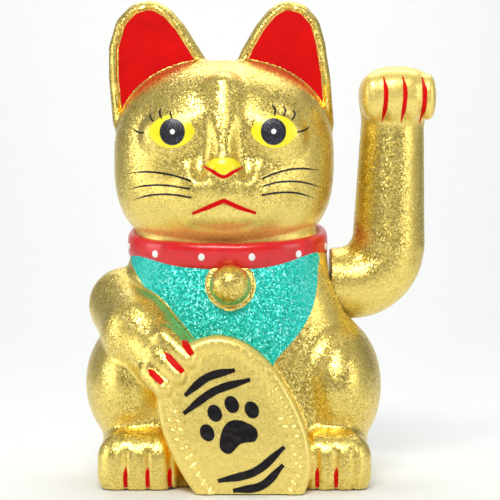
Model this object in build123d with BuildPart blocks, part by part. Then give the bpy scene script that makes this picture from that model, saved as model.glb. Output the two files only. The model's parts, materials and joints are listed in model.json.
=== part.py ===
from build123d import *

import os
from math import copysign, cos, pi, radians, sin, tan

# Beckoning cat figurine, battery driven, as an assembly of separate pieces.
#
# The cat sits on the XY plane and faces -Y, with +Z up and the raised paw on its +X side.
# The origin is the centre of the base on the table. A hollow body of two moulded half shells,
# front and back, is closed by a base plate that carries the battery well, the switch, the coil
# and the frame of the arm's drive. The raised arm is two half shells on a steel shaft. Inside
# the body the same shaft carries a pendulum whose magnet swings over the coil.
# All sizes are in millimetres.

# ---- driving dimensions -------------------------------------------------------------------
WALL = 1.8  # thickness of the moulded shells
SHELL_BOTTOM = 0.4  # the shells' lower rim stands this far above the table
SOCKET_FLOOR_X = 39.0  # flat bottom of the round recess that the arm's shoulder turns in
SOCKET_RADIUS = 17.0
PIVOT_Z = 81.0  # height of the arm's shaft, which lies along X at y = 0

PLATE_TOP = 2.6  # base plate: from the table up to here
PLATE_GAP = 0.25  # play between the base plate and the shells

# head: one rounded body, whose outline is a superellipse in every direction
HEAD_CENTRE = (-4.3, -2.0, 134.0)
HEAD_RADII = (46.4, 37.0, 41.0)
HEAD_LOWER_POWER, HEAD_UPPER_POWER = 2.8, 2.3  # fuller cheeks than crown
HEAD_ROUND_POWER = 2.4

# torso: height, centre x, half width, half depth of each level
TORSO_LEVELS = [
    (-4.0, 0.0, 51.0, 36.0),
    (15.0, 0.0, 53.0, 38.0),
    (35.0, 0.0, 52.0, 38.0),
    (55.0, 0.0, 50.0, 36.5),
    (70.0, -0.5, 47.5, 34.5),
    (85.0, -1.5, 44.0, 31.5),
    (97.0, -2.5, 40.0, 28.5),
    (106.0, -3.0, 36.5, 26.0),
]
TORSO_CENTRE_Y = 1.0
TORSO_POWER = 2.8

# ears: corner centres of the left ear's arched outline, which is rounded by EAR_ROUND
EAR_CORNERS = [
    (-41.8, 150.0),
    (-43.4, 168.0),
    (-43.4, 179.0),
    (-41.2, 186.8),
    (-38.4, 189.8),
    (-35.4, 190.7),
    (-32.6, 189.0),
    (-28.4, 184.1),
    (-16.4, 165.0),
    (-22.0, 150.0),
]
EAR_ROUND = 9.3
EAR_MIRROR_X = -6.0  # the right ear mirrors the left one in this plane
EAR_FRONT_Y = -9.0
EAR_BACK_Y = 6.0
EAR_RIM = 4.0  # width of the rim round the hollow of the ear
EAR_HOLLOW = 1.2

# collar: a low ring round the neck that dips at the front
COLLAR_CENTRE = (-2.7, 0.0, 98.0)
COLLAR_HALF = (42.2, 33.0)
COLLAR_POWER = 2.3
COLLAR_HEIGHT = 10.6
COLLAR_DIP = 9.0  # degrees

BELL_CENTRE = (-1.5, -35.5, 81.9)
BELL_RADIUS = 8.3

HAUNCHES = [((-40.5, -6.0, 40.0), (21.3, 33.0, 27.5)), ((42.3, -8.0, 39.0), (19.2, 31.0, 28.0))]
FEET = [((-37.5, -27.0), 33.0), ((40.6, -27.0), 29.0)]  # centre, width
FOOT_DEPTH = 34.0
FOOT_TOP = 23.0
FOOT_ROUND = 7.0

# the arm that holds the coin: a tapering limb through these points, with its radii
HOLDING_ARM = [((-45.0, -6.0, 72.0), 15.8), ((-38.0, -26.0, 62.0), 15.0), ((-27.0, -37.0, 52.0), 13.5)]

COIN_CENTRE = (0.5, 25.0)  # x, z
COIN_HALF = (26.0, 38.0)
COIN_POWER = 2.3
COIN_TILT = 27.0  # degrees, its top leans to -X
COIN_LEAN = 4.0  # degrees, its top leans back
COIN_FRONT_Y = -53.0
COIN_DEPTH = 28.0
COIN_EDGE = 3.0

TAIL = [(10.0, 33.0, 9.0), (27.0, 38.0, 16.0), (33.0, 34.0, 34.0)]
TAIL_RADIUS = 7.0

# raised arm
ARM_RADIUS = 15.0
ARM_END_X = 40.5  # the flat shoulder end
ELBOW_BEND = 16.0
FOREARM_X = 65.3  # at the elbow
WRIST_X = 67.2
WRIST_Z = 148.0
WRIST_RADIUS = 13.3
PAW_CENTRE = (68.5, -5.0, 159.0)
PAW_RADII = (16.3, 15.0, 13.1)
ARM_WALL = 1.6

# drive
SHAFT_RADIUS = 1.5
SHAFT_PLAY = 0.04
SHAFT_FROM_X, SHAFT_TO_X = 3.0, 54.0
CHEEK_X = (7.0, 29.0)  # where the frame's two cheeks begin
CHEEK_THICK = 2.5
BUSH_RADIUS = 3.0
BUSH_FLANGE_RADIUS, BUSH_FLANGE = 4.2, 1.0
CLIP_X = (4.6, 33.1)  # where the shaft's two clips begin
CLIP_RADIUS, CLIP_THICK = 3.2, 0.8
LEVER_X = 19.0
LEVER_TOP_Z = 78.0
WEIGHT_Y = 1.75  # set back, so that the raised paw is balanced
WEIGHT_BOTTOM, WEIGHT_TOP, WEIGHT_RADIUS = 17.0, 27.0, 7.5
MAGNET_BOTTOM, MAGNET_RADIUS = 14.0, 6.0
HUB_HOLE_RADIUS = 5.0  # hole in the arm's shoulder end that the hub's collar fills
HUB_DISC = 2.9

FRAME_PLATE_Z = 5.4
FRAME_PLATE_THICK = 2.0
FRAME_SCREWS = [(LEVER_X + x, y) for x in (-7.0, 7.0) for y in (-15.0, 15.0)]
FRAME_PILOT_RADIUS = 0.8
CHEEK_TOP_HALF, CHEEK_FOOT_HALF = 7.5, 12.0
TIE_Y, TIE_Z, TIE_SIZE = 6.5, PIVOT_Z - 5.0, (1.4, 4.0)  # the tie stays clear of the swinging lever

COIL_FLANGE_RADIUS, COIL_CORE_RADIUS, COIL_RADIUS = 9.0, 3.5, 8.3
COIL_LOW_FLANGE, COIL_HIGH_FLANGE = 1.0, 1.2
COIL_HEIGHT = 8.8

# battery well, along Y, with one AA cell
CELL_X, CELL_Z = -12.0, 10.4
CELL_FROM_Y, CELL_TO_Y, CELL_NUB_Y = -23.75, 24.75, 25.75
CELL_RADIUS, CELL_NUB_RADIUS = 7.1, 2.7
WELL_HALF_X, WELL_HALF_Y, WELL_TOP = 9.6, 31.0, 19.4
WELL_WALL = 1.4
CONTACT_THICK = 0.6
TAB_HALF_X, TAB_TOP = 2.0, 22.0  # solder tabs that stand up through the top of the well
SPRING_RADIUS, SPRING_WIRE = 3.4, 0.4

DOOR_HALF_X, DOOR_HALF_Y = 7.6, 27.0
DOOR_PLAY = 0.3
DOOR_BOTTOM, DOOR_THICK = 0.5, 1.6
DOOR_PIN_RADIUS, DOOR_PIN_HALF = 0.6, 8.8
DOOR_PIN_Y = DOOR_THICK / 2 - DOOR_HALF_Y
DOOR_PIN_Z = DOOR_BOTTOM + DOOR_THICK / 2

SWITCH_X, SWITCH_Y = -36.0, 6.0
SWITCH_SIZE = (6.4, 13.0, 5.0)
SWITCH_TRAVEL = 3.0
KNOB_SIZE = (2.2, 2.6)
CARRIER_SIZE = (4.2, 5.0, 1.3)

BOARD_X, BOARD_Z = 41.5, 5.2
BOARD_SIZE = (13.0, 28.0, 1.6)
BOARD_TOP = BOARD_Z + BOARD_SIZE[2]
BOARD_SCREWS = [(38.0, -11.0), (38.0, 11.0)]
TRANSISTOR_PLACE = (38.5, -4.0)
CAPACITOR_PLACE = (43.5, 3.5)
RESISTOR_X, RESISTOR_WIRE_Y = 43.5, (-8.6, 0.6)

# screws that hold the base plate in the front shell's feet and at the back shell's wall
FRONT_SCREWS = [(-38.0, -34.0), (41.0, -34.0)]
BACK_SCREWS = [(-31.0, 27.0), (31.0, 27.0)]
BASE_SCREW_RADIUS = 1.3
BOSS_RADIUS, BOSS_HEIGHT = 3.4, 12.0

LEAD_RADIUS = 0.6
COIL_LEAD_RADIUS = 0.3

FAR = 300.0  # larger than the whole figure


# ---- shared shapes ------------------------------------------------------------------------
def outline(half_x, half_y, power, steps=28):
    """Points round a superellipse."""
    points = []
    for i in range(steps):
        a = 2 * pi * i / steps
        x = half_x * copysign(abs(cos(a)) ** (2 / power), cos(a))
        y = half_y * copysign(abs(sin(a)) ** (2 / power), sin(a))
        points.append((x, y))
    return points


def superellipse(half_x, half_y, power):
    """A superellipse face."""
    with BuildSketch(mode=Mode.PRIVATE) as face:
        with BuildLine():
            Spline(*outline(half_x, half_y, power), periodic=True)
        make_face()
    return face.sketch


def ellipsoid(centre, radii):
    """A solid ellipsoid with its axes along X, Y and Z."""
    with BuildPart() as ball:
        Sphere(1.0)
        scale(by=radii)
    return ball.part.moved(Location(centre))


def half_space(sign):
    """A large box that holds everything in front of (-1) or behind (+1) the seam."""
    return Box(FAR, FAR, FAR * 2, mode=Mode.PRIVATE).moved(Location((0, sign * FAR / 2, 0)))


def slab(low, high):
    """A large flat box between two heights."""
    box = Box(FAR, FAR, high - low, mode=Mode.PRIVATE)
    return box.moved(Location((0, 0, (low + high) / 2)))


def along_x(radius, start, end, y=0.0, z=PIVOT_Z):
    """A rod along X."""
    rod = Cylinder(radius, end - start, rotation=(0, 90, 0), mode=Mode.PRIVATE)
    return rod.moved(Location(((start + end) / 2, y, z)))


# ---- the cat's form -----------------------------------------------------------------------
def torso_form(inset):
    """Torso and neck, from below the table up into the head."""
    with BuildPart() as torso:
        for z, x, half_x, half_y in TORSO_LEVELS:
            with BuildSketch(Plane.XY.offset(z)):
                with Locations((x, TORSO_CENTRE_Y)):
                    add(superellipse(half_x - inset, half_y - inset, TORSO_POWER))
        loft()
    return torso.part


def head_form(inset):
    """Head without its ears."""
    rx, ry, rz = (r - inset for r in HEAD_RADII)
    with BuildPart() as head:
        for angle in range(-80, 81, 20):
            power = HEAD_LOWER_POWER if angle < 0 else HEAD_UPPER_POWER
            rise = sin(radians(angle))
            share = (1 - abs(rise) ** power) ** (1 / power)
            with BuildSketch(Plane.XY.offset(HEAD_CENTRE[2] + rz * rise)):
                with Locations(HEAD_CENTRE[:2]):
                    add(superellipse(rx * share, ry * share, HEAD_ROUND_POWER))
        loft()
    return head.part


def ear_form(inset):
    """Left ear: a rounded plate, with a shallow hollow in its front where it isn't inset."""
    depth = EAR_BACK_Y - EAR_FRONT_Y - 2 * inset
    with BuildPart() as ear:
        with BuildSketch(Plane.XZ.offset(-(EAR_BACK_Y - inset))):
            Polygon(*EAR_CORNERS, align=None)
            offset(amount=EAR_ROUND - inset)
        extrude(amount=depth)
        if inset <= 0:
            fillet(ear.edges().group_by(Axis.Y)[0], EAR_RIM * 0.7)
            fillet(ear.edges().group_by(Axis.Y)[-1], EAR_RIM * 0.9)
            with BuildSketch(Plane.XZ.offset(-EAR_FRONT_Y)):
                Polygon(*EAR_CORNERS, align=None)
                offset(amount=EAR_ROUND - EAR_RIM)
            extrude(amount=-EAR_HOLLOW, mode=Mode.SUBTRACT)
    return ear.part


def foot_form(centre, width, inset):
    """One hind foot, a soft block that starts below the table."""
    with BuildPart() as foot:
        with Locations((*centre, (FOOT_TOP - 2 * FOOT_ROUND) / 2)):
            Box(width - 2 * inset, FOOT_DEPTH - 2 * inset, FOOT_TOP + 2 * FOOT_ROUND - 2 * inset)
        fillet(foot.edges(), FOOT_ROUND - inset)
    return foot.part


def holding_arm_form(inset):
    """The moulded arm that reaches down across the belly to the coin."""
    with BuildPart() as limb:
        for (a, ra), (b, rb) in zip(HOLDING_ARM, HOLDING_ARM[1:]):
            way = Vector(*b) - Vector(*a)
            with BuildSketch(Plane(origin=a, z_dir=way)):
                Circle(ra - inset)
            with BuildSketch(Plane(origin=b, z_dir=way)):
                Circle(rb - inset)
            loft()
        for point, radius in HOLDING_ARM:
            with Locations(point):
                Sphere(radius - inset)
    return limb.part


def coin_form(inset):
    """The oval coin, an upright plate that merges into the belly behind it."""
    face = Plane(
        origin=(COIN_CENTRE[0], COIN_FRONT_Y + inset, COIN_CENTRE[1]),
        x_dir=(cos(radians(COIN_TILT)), 0, sin(radians(COIN_TILT))),
        z_dir=(0, -cos(radians(COIN_LEAN)), sin(radians(COIN_LEAN))),
    )
    with BuildPart() as coin:
        with BuildSketch(face):
            add(superellipse(COIN_HALF[0] - inset, COIN_HALF[1] - inset, COIN_POWER))
        extrude(amount=-COIN_DEPTH)
        if inset <= 0:
            fillet(coin.edges().group_by(Axis.Y)[0], COIN_EDGE)
    return coin.part


def tail_form(inset):
    """The short tail that curls round the back."""
    with BuildPart() as tail:
        with BuildLine():
            path = Spline(*TAIL)
        with BuildSketch(Plane(origin=path @ 0, z_dir=path % 0)):
            Circle(TAIL_RADIUS - inset)
        sweep()
        with Locations(TAIL[0], TAIL[-1]):
            Sphere(TAIL_RADIUS - inset)
    return tail.part


def collar_form():
    """The moulded collar, a tilted ring that the neck fills."""
    plane = Plane(COLLAR_CENTRE).rotated((COLLAR_DIP, 0, 0)).offset(-COLLAR_HEIGHT / 2)
    with BuildPart() as collar:
        with BuildSketch(plane):
            add(superellipse(*COLLAR_HALF, COLLAR_POWER))
        extrude(amount=COLLAR_HEIGHT)
        fillet(collar.edges(), 2.5)
    return collar.part


def body_form(inset):
    """Everything of the body that is hollow, inset from the outer surface."""
    ear = ear_form(inset)
    with BuildPart() as form:
        add(torso_form(inset))
        add(head_form(inset))
        add(ear)
        add(ear.mirror(Plane.YZ.offset(EAR_MIRROR_X)))
        for centre, radii in HAUNCHES:
            add(ellipsoid(centre, tuple(r - inset for r in radii)))
        for centre, width in FEET:
            add(foot_form(centre, width, inset))
        add(holding_arm_form(inset))
        add(coin_form(inset))
        add(tail_form(inset))
        # the recess that the raised arm's shoulder turns in
        add(along_x(SOCKET_RADIUS + max(inset, 0), SOCKET_FLOOR_X - max(inset, 0), FAR), mode=Mode.SUBTRACT)
    return form.part


def footprint(inset):
    """Torso, feet and coin, which together outline the figure on the table."""
    with BuildPart() as form:
        add(torso_form(inset))
        for centre, width in FEET:
            add(foot_form(centre, width, inset))
        add(coin_form(inset))
    return form.part


def arm_form(inset):
    """The raised arm: out along the shaft, up at the elbow and into the paw."""
    radius = ARM_RADIUS - inset
    start = (ARM_END_X + inset, 0, PIVOT_Z)
    elbow = (FOREARM_X, 0, PIVOT_Z)
    forearm_z = PIVOT_Z + ELBOW_BEND
    with BuildPart() as limb:
        with BuildLine():
            path = FilletPolyline(start, elbow, (FOREARM_X, 0, forearm_z + 3.0), radius=ELBOW_BEND)
        with BuildSketch(Plane.YZ.offset(start[0])):
            with Locations((0, PIVOT_Z)):
                Circle(radius)
        sweep(path=path)
        with BuildSketch(Plane.XY.offset(forearm_z + 3.0)):
            with Locations((FOREARM_X, 0)):
                Circle(radius)
        with BuildSketch(Plane.XY.offset(WRIST_Z)):
            with Locations((WRIST_X, 0)):
                Circle(WRIST_RADIUS - inset)
        loft()
        with Locations((WRIST_X, 0, WRIST_Z)):
            Sphere(WRIST_RADIUS - inset)
        add(ellipsoid(PAW_CENTRE, tuple(r - inset for r in PAW_RADII)))
    return limb.part


# ---- shared details -----------------------------------------------------------------------
UPWARD = (Align.CENTER, Align.CENTER, Align.MIN)


def save(piece, name):
    """Label a finished piece and write its file."""
    piece.part.label = name
    export_step(piece.part, f"parts/{name}.step")


def cross_head_screws(places, seat, up, head_radius, head_height, shank_radius, shank_length):
    """Screws whose heads lie above (up = 1) or below (up = -1) the height of their seat."""
    recess = head_height / 2
    with BuildPart() as group:
        for x, y in places:
            with Locations((x, y, seat + up * head_height / 2)):
                Cylinder(head_radius, head_height)
            with Locations((x, y, seat - up * shank_length / 2)):
                Cylinder(shank_radius, shank_length)
            with Locations((x, y, seat + up * (head_height - recess / 2))):
                Box(head_radius * 1.2, head_radius * 0.26, recess, mode=Mode.SUBTRACT)
                Box(head_radius * 0.26, head_radius * 1.2, recess, mode=Mode.SUBTRACT)
    return group.part


def lead(points, radius=LEAD_RADIUS):
    """A lead of straight runs, joined by arcs as large as the runs allow."""
    corners = [Vector(*point) for point in points]
    radii = []
    for a, b, c in zip(corners, corners[1:], corners[2:]):
        turn = radians((b - a).get_angle(c - b))
        radii.append(0.45 * min((b - a).length, (c - b).length) / tan(turn / 2))
    with BuildPart() as tube:
        with BuildLine():
            route = FilletPolyline(*corners, radius=radii)
        with BuildSketch(Plane(origin=corners[0], z_dir=corners[1] - corners[0])):
            Circle(radius)
        sweep(path=route)
    return tube.part


os.makedirs("parts", exist_ok=True)


# ---- base plate with its battery well, switch slot and bosses -------------------------------
WELL_HOLLOW = (2 * (WELL_HALF_X - WELL_WALL), 2 * (WELL_HALF_Y - WELL_WALL))
CONTACT_Y = WELL_HALF_Y - WELL_WALL  # the contacts stand against the well's end walls

with BuildPart() as base_plate:
    add(footprint(WALL + PLATE_GAP))
    add(slab(0.0, PLATE_TOP), mode=Mode.INTERSECT)
    with Locations((CELL_X, 0, PLATE_TOP)):
        Box(2 * WELL_HALF_X, 2 * WELL_HALF_Y, WELL_TOP - PLATE_TOP, align=UPWARD)
        Box(*WELL_HOLLOW, WELL_TOP - WELL_WALL - PLATE_TOP, align=UPWARD, mode=Mode.SUBTRACT)
    # slots for the contacts' solder tabs
    with Locations((CELL_X, -CONTACT_Y + 0.4, WELL_TOP), (CELL_X, CONTACT_Y - 0.4, WELL_TOP)):
        Box(2 * TAB_HALF_X + 0.4, 0.8, 4.0, mode=Mode.SUBTRACT)
    # opening for the battery door, with holes for its two hinge pins
    with Locations((CELL_X, 0, 0)):
        Box(2 * (DOOR_HALF_X + DOOR_PLAY), 2 * (DOOR_HALF_Y + DOOR_PLAY), 2 * PLATE_TOP, mode=Mode.SUBTRACT)
    with Locations((CELL_X, DOOR_PIN_Y, DOOR_PIN_Z)):
        Cylinder(DOOR_PIN_RADIUS + 0.06, 2 * DOOR_PIN_HALF + 0.4, rotation=(0, 90, 0), mode=Mode.SUBTRACT)
    # bosses for the drive frame and the circuit board
    with Locations(*((x, y, PLATE_TOP) for x, y in FRAME_SCREWS)):
        Cylinder(3.0, FRAME_PLATE_Z - PLATE_TOP, align=UPWARD)
    with Locations(*((x, y, FRAME_PLATE_Z) for x, y in FRAME_SCREWS)):
        Hole(FRAME_PILOT_RADIUS, depth=4.2)
    with Locations(*((x, y, PLATE_TOP) for x, y in BOARD_SCREWS)):
        Cylinder(2.2, BOARD_Z - PLATE_TOP, align=UPWARD)
    with Locations(*((x, y, BOARD_Z) for x, y in BOARD_SCREWS)):
        Hole(FRAME_PILOT_RADIUS, depth=4.0)
    # slot for the switch's knob
    with Locations((SWITCH_X, SWITCH_Y, 0)):
        Box(KNOB_SIZE[0] + 0.6, KNOB_SIZE[1] + SWITCH_TRAVEL + 0.6, 2 * PLATE_TOP, mode=Mode.SUBTRACT)
    # holes for the screws that go up into the shells
    with Locations(*(Location((x, y, 0), (180, 0, 0)) for x, y in FRONT_SCREWS + BACK_SCREWS)):
        CounterBoreHole(BASE_SCREW_RADIUS + 0.15, 2.8, 1.6, depth=PLATE_TOP)
save(base_plate, "base_plate")

with BuildPart() as base_screws:
    add(cross_head_screws(FRONT_SCREWS + BACK_SCREWS, 1.6, -1, 2.6, 1.4, BASE_SCREW_RADIUS, 10.0))
save(base_screws, "base_screws")


# ---- battery and its door -------------------------------------------------------------------
with BuildPart() as battery_door:
    with Locations((CELL_X, 0, DOOR_BOTTOM)):
        Box(2 * DOOR_HALF_X, 2 * DOOR_HALF_Y, DOOR_THICK, align=UPWARD)
    # rounded about the hinge
    hinge_edges = battery_door.edges().filter_by(Axis.X).group_by(Axis.Y)[0]
    fillet(hinge_edges, DOOR_THICK / 2 - 0.01)
    with Locations((CELL_X, DOOR_PIN_Y, DOOR_PIN_Z)):
        Cylinder(DOOR_PIN_RADIUS, 2 * DOOR_PIN_HALF, rotation=(0, 90, 0))
    # latch and grip ribs at the free end
    with Locations((CELL_X, DOOR_HALF_Y - 0.9, DOOR_BOTTOM + DOOR_THICK)):
        Box(6.0, 1.0, 2.0, align=UPWARD)
    with Locations(*((CELL_X, DOOR_HALF_Y - 3.0 - 2.0 * i, DOOR_BOTTOM) for i in range(4))):
        Box(9.0, 0.8, 0.8, mode=Mode.SUBTRACT)
save(battery_door, "battery_door")

with BuildPart() as battery_cell:
    with BuildSketch(Plane.XZ.offset(-CELL_FROM_Y)):
        with Locations((CELL_X, CELL_Z)):
            Circle(CELL_RADIUS)
    extrude(amount=-(CELL_TO_Y - CELL_FROM_Y))
    fillet(battery_cell.edges(), 0.6)
    with BuildSketch(Plane.XZ.offset(-CELL_TO_Y)):
        with Locations((CELL_X, CELL_Z)):
            Circle(CELL_NUB_RADIUS)
    extrude(amount=-(CELL_NUB_Y - CELL_TO_Y))
save(battery_cell, "battery_cell")

with BuildPart() as battery_spring:
    with Locations((CELL_X, -CONTACT_Y + CONTACT_THICK / 2, 4.4)):
        Box(12.0, CONTACT_THICK, 12.0, align=UPWARD)
        Box(2 * TAB_HALF_X, CONTACT_THICK, TAB_TOP - 4.4, align=UPWARD)
    spring_from = -CONTACT_Y + CONTACT_THICK + SPRING_WIRE + 0.05
    spring_length = CELL_FROM_Y - SPRING_WIRE - 0.05 - spring_from
    with BuildLine():
        coil = Helix(1.5, spring_length, SPRING_RADIUS, (CELL_X, spring_from, CELL_Z), (0, 1, 0))
    with BuildSketch(Plane(origin=coil @ 0, z_dir=coil % 0)):
        Circle(SPRING_WIRE)
    sweep(path=coil, is_frenet=True)
save(battery_spring, "battery_spring")

with BuildPart() as battery_terminal:
    with Locations((CELL_X, CONTACT_Y - CONTACT_THICK / 2, 5.0)):
        Box(12.0, CONTACT_THICK, 11.4, align=UPWARD)
        Box(2 * TAB_HALF_X, CONTACT_THICK, TAB_TOP - 5.0, align=UPWARD)
    # pressed dimple that meets the cell's nub
    with BuildSketch(Plane.XZ.offset(-CONTACT_Y + CONTACT_THICK)):
        with Locations((CELL_X, CELL_Z)):
            Circle(3.4)
    with BuildSketch(Plane.XZ.offset(-CELL_NUB_Y)):
        with Locations((CELL_X, CELL_Z)):
            Circle(1.8)
    loft()
save(battery_terminal, "battery_terminal")


# ---- switch ---------------------------------------------------------------------------------
with BuildPart() as switch_body:
    with Locations((SWITCH_X, SWITCH_Y, PLATE_TOP)):
        Box(*SWITCH_SIZE, align=UPWARD)
        # room for the carrier and its travel
        room_y = CARRIER_SIZE[1] + SWITCH_TRAVEL + 1.0
        Box(CARRIER_SIZE[0] + 0.6, room_y, 2.0, align=UPWARD, mode=Mode.SUBTRACT)
    fillet(switch_body.edges().group_by(Axis.Z)[-1], 0.5)
save(switch_body, "switch_body")

with BuildPart() as switch_slider:
    with Locations((SWITCH_X, SWITCH_Y - SWITCH_TRAVEL / 2, 0.4)):
        Box(*KNOB_SIZE, PLATE_TOP + 0.3 - 0.4, align=UPWARD)
        with Locations((0, -0.6, 0), (0, 0.6, 0)):
            Box(KNOB_SIZE[0], 0.5, 0.6, mode=Mode.SUBTRACT)
    with Locations((SWITCH_X, SWITCH_Y - SWITCH_TRAVEL / 2, PLATE_TOP + 0.3)):
        Box(*CARRIER_SIZE, align=UPWARD)
save(switch_slider, "switch_slider")


# ---- drive frame, coil and circuit board ------------------------------------------------------
with BuildPart() as movement_frame:
    with Locations((LEVER_X, 0, FRAME_PLATE_Z)):
        Box(30.0, 34.0, FRAME_PLATE_THICK, align=UPWARD)
    fillet(movement_frame.edges().filter_by(Axis.Z), 3.0)
    with Locations((LEVER_X, 0, FRAME_PLATE_Z)):
        Cylinder(COIL_FLANGE_RADIUS + 0.5, FRAME_PLATE_THICK, align=UPWARD, mode=Mode.SUBTRACT)
    with Locations(*((x, y, FRAME_PLATE_Z + FRAME_PLATE_THICK) for x, y in FRAME_SCREWS)):
        Hole(FRAME_PILOT_RADIUS + 0.15, depth=FRAME_PLATE_THICK)
    for x in CHEEK_X:
        with BuildSketch(Plane.YZ.offset(x)):
            with BuildLine():
                foot = Polyline(
                    (-CHEEK_TOP_HALF, PIVOT_Z),
                    (-CHEEK_FOOT_HALF, FRAME_PLATE_Z + 1),
                    (CHEEK_FOOT_HALF, FRAME_PLATE_Z + 1),
                    (CHEEK_TOP_HALF, PIVOT_Z),
                )
                ThreePointArc(foot @ 1, (0, PIVOT_Z + CHEEK_TOP_HALF), foot @ 0)
            make_face()
            with Locations((0, 42.0)):
                SlotOverall(28.0, 8.0, rotation=90, mode=Mode.SUBTRACT)
            with Locations((0, PIVOT_Z)):
                Circle(BUSH_RADIUS, mode=Mode.SUBTRACT)
        extrude(amount=CHEEK_THICK)
    # tie between the cheeks, behind the lever
    with Locations((CHEEK_X[0] + CHEEK_THICK, TIE_Y, TIE_Z)):
        Box(CHEEK_X[1] - CHEEK_X[0] - CHEEK_THICK, *TIE_SIZE, align=(Align.MIN, Align.MIN, Align.MIN))
save(movement_frame, "movement_frame")

with BuildPart() as frame_screws:
    seat = FRAME_PLATE_Z + FRAME_PLATE_THICK
    add(cross_head_screws(FRAME_SCREWS, seat, 1, 1.9, 1.4, FRAME_PILOT_RADIUS, 5.6))
save(frame_screws, "frame_screws")

with BuildPart() as shaft_bushes:
    for start, flange in zip(CHEEK_X, (CHEEK_X[0] - BUSH_FLANGE, CHEEK_X[1] + CHEEK_THICK)):
        add(along_x(BUSH_RADIUS, start, start + CHEEK_THICK))
        add(along_x(BUSH_FLANGE_RADIUS, flange, flange + BUSH_FLANGE))
    add(along_x(SHAFT_RADIUS + SHAFT_PLAY, 0, SOCKET_FLOOR_X), mode=Mode.SUBTRACT)
save(shaft_bushes, "shaft_bushes")

with BuildPart() as coil_bobbin:
    with Locations((LEVER_X, 0, PLATE_TOP)):
        Cylinder(COIL_CORE_RADIUS, COIL_HEIGHT, align=UPWARD)
        Cylinder(COIL_FLANGE_RADIUS, COIL_LOW_FLANGE, align=UPWARD)
    with Locations((LEVER_X, 0, PLATE_TOP + COIL_HEIGHT - COIL_HIGH_FLANGE)):
        Cylinder(COIL_FLANGE_RADIUS, COIL_HIGH_FLANGE, align=UPWARD)
    with Locations((LEVER_X, 0, PLATE_TOP + COIL_HEIGHT)):
        Hole(1.6, depth=COIL_HEIGHT)
save(coil_bobbin, "coil_bobbin")

with BuildPart() as coil_winding:
    with Locations((LEVER_X, 0, PLATE_TOP + COIL_LOW_FLANGE)):
        Cylinder(COIL_RADIUS, COIL_HEIGHT - COIL_LOW_FLANGE - COIL_HIGH_FLANGE, align=UPWARD)
        Cylinder(COIL_CORE_RADIUS, COIL_HEIGHT, align=UPWARD, mode=Mode.SUBTRACT)
save(coil_winding, "coil_winding")

with BuildPart() as circuit_board:
    with Locations((BOARD_X, 0, BOARD_Z)):
        Box(*BOARD_SIZE, align=UPWARD)
    fillet(circuit_board.edges().filter_by(Axis.Z), 1.0)
    with Locations(*((x, y, BOARD_TOP) for x, y in BOARD_SCREWS)):
        Hole(FRAME_PILOT_RADIUS + 0.15, depth=BOARD_SIZE[2])
save(circuit_board, "circuit_board")

with BuildPart() as board_screws:
    add(cross_head_screws(BOARD_SCREWS, BOARD_TOP, 1, 1.9, 1.3, FRAME_PILOT_RADIUS, 5.2))
save(board_screws, "board_screws")

with BuildPart() as transistor:
    with Locations((*TRANSISTOR_PLACE, BOARD_TOP + 2.0)):
        Cylinder(2.4, 4.6, align=UPWARD)
        with Locations((-2.4, 0, 0)):
            Box(1.8, 6.0, 4.6, align=UPWARD, mode=Mode.SUBTRACT)
    with Locations((*TRANSISTOR_PLACE, BOARD_TOP)):
        with Locations((0, -1.3), (0, 0), (0, 1.3)):
            Box(0.5, 0.5, 2.5, align=UPWARD)
save(transistor, "transistor")

with BuildPart() as capacitor:
    with Locations((*CAPACITOR_PLACE, BOARD_TOP)):
        Cylinder(2.6, 7.4, align=UPWARD)
    fillet(capacitor.edges(), 0.3)
save(capacitor, "capacitor")

with BuildPart() as resistor:
    bent_up = BOARD_TOP + 2.4
    from_y, to_y = RESISTOR_WIRE_Y
    wire = [(from_y, BOARD_TOP), (from_y, bent_up), (to_y, bent_up), (to_y, BOARD_TOP)]
    add(lead([(RESISTOR_X, y, z) for y, z in wire], radius=COIL_LEAD_RADIUS))
    with Locations((RESISTOR_X, (from_y + to_y) / 2, bent_up)):
        Cylinder(1.1, 6.2, rotation=(90, 0, 0))
save(resistor, "resistor")


# ---- leads ----------------------------------------------------------------------------------
TAB_LEAD_Y = CONTACT_Y - CONTACT_THICK - LEAD_RADIUS - 0.05
TAB_LEAD_Z = TAB_TOP - 1.2
SWITCH_TOP = PLATE_TOP + SWITCH_SIZE[2]

with BuildPart() as lead_red:
    add(
        lead(
            [
                (CELL_X + 1.5, TAB_LEAD_Y, TAB_LEAD_Z),
                (CELL_X - 9.0, TAB_LEAD_Y, TAB_LEAD_Z),
                (SWITCH_X + 4.0, 22.0, 20.5),
                (SWITCH_X, SWITCH_Y + 3.0, 16.0),
                (SWITCH_X, SWITCH_Y + 3.0, SWITCH_TOP),
            ]
        )
    )
save(lead_red, "lead_red")

with BuildPart() as lead_yellow:
    add(
        lead(
            [
                (SWITCH_X, SWITCH_Y - 3.0, SWITCH_TOP),
                (SWITCH_X, SWITCH_Y - 3.0, 16.0),
                (-26.0, 8.0, 22.0),
                (-13.0, 13.5, 22.6),
                (-0.4, 19.0, 22.4),
                (4.0, 22.0, 13.0),
                (8.0, 22.6, 6.0),
                (18.0, 21.6, 4.2),
                (31.0, 20.4, 5.0),
                (40.0, 17.5, 9.5),
                (45.5, 12.0, 12.5),
                (45.5, 12.0, BOARD_TOP),
            ]
        )
    )
save(lead_yellow, "lead_yellow")

with BuildPart() as lead_black:
    add(
        lead(
            [
                (CELL_X - 1.5, -TAB_LEAD_Y, TAB_LEAD_Z),
                (CELL_X + 11.2, -TAB_LEAD_Y, TAB_LEAD_Z),
                (2.0, -26.0, 14.0),
                (6.5, -24.0, 6.5),
                (18.0, -22.0, 4.4),
                (31.0, -21.0, 5.0),
                (40.0, -17.5, 9.5),
                (45.5, -12.0, 12.5),
                (45.5, -12.0, BOARD_TOP),
            ]
        )
    )
save(lead_black, "lead_black")

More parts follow.
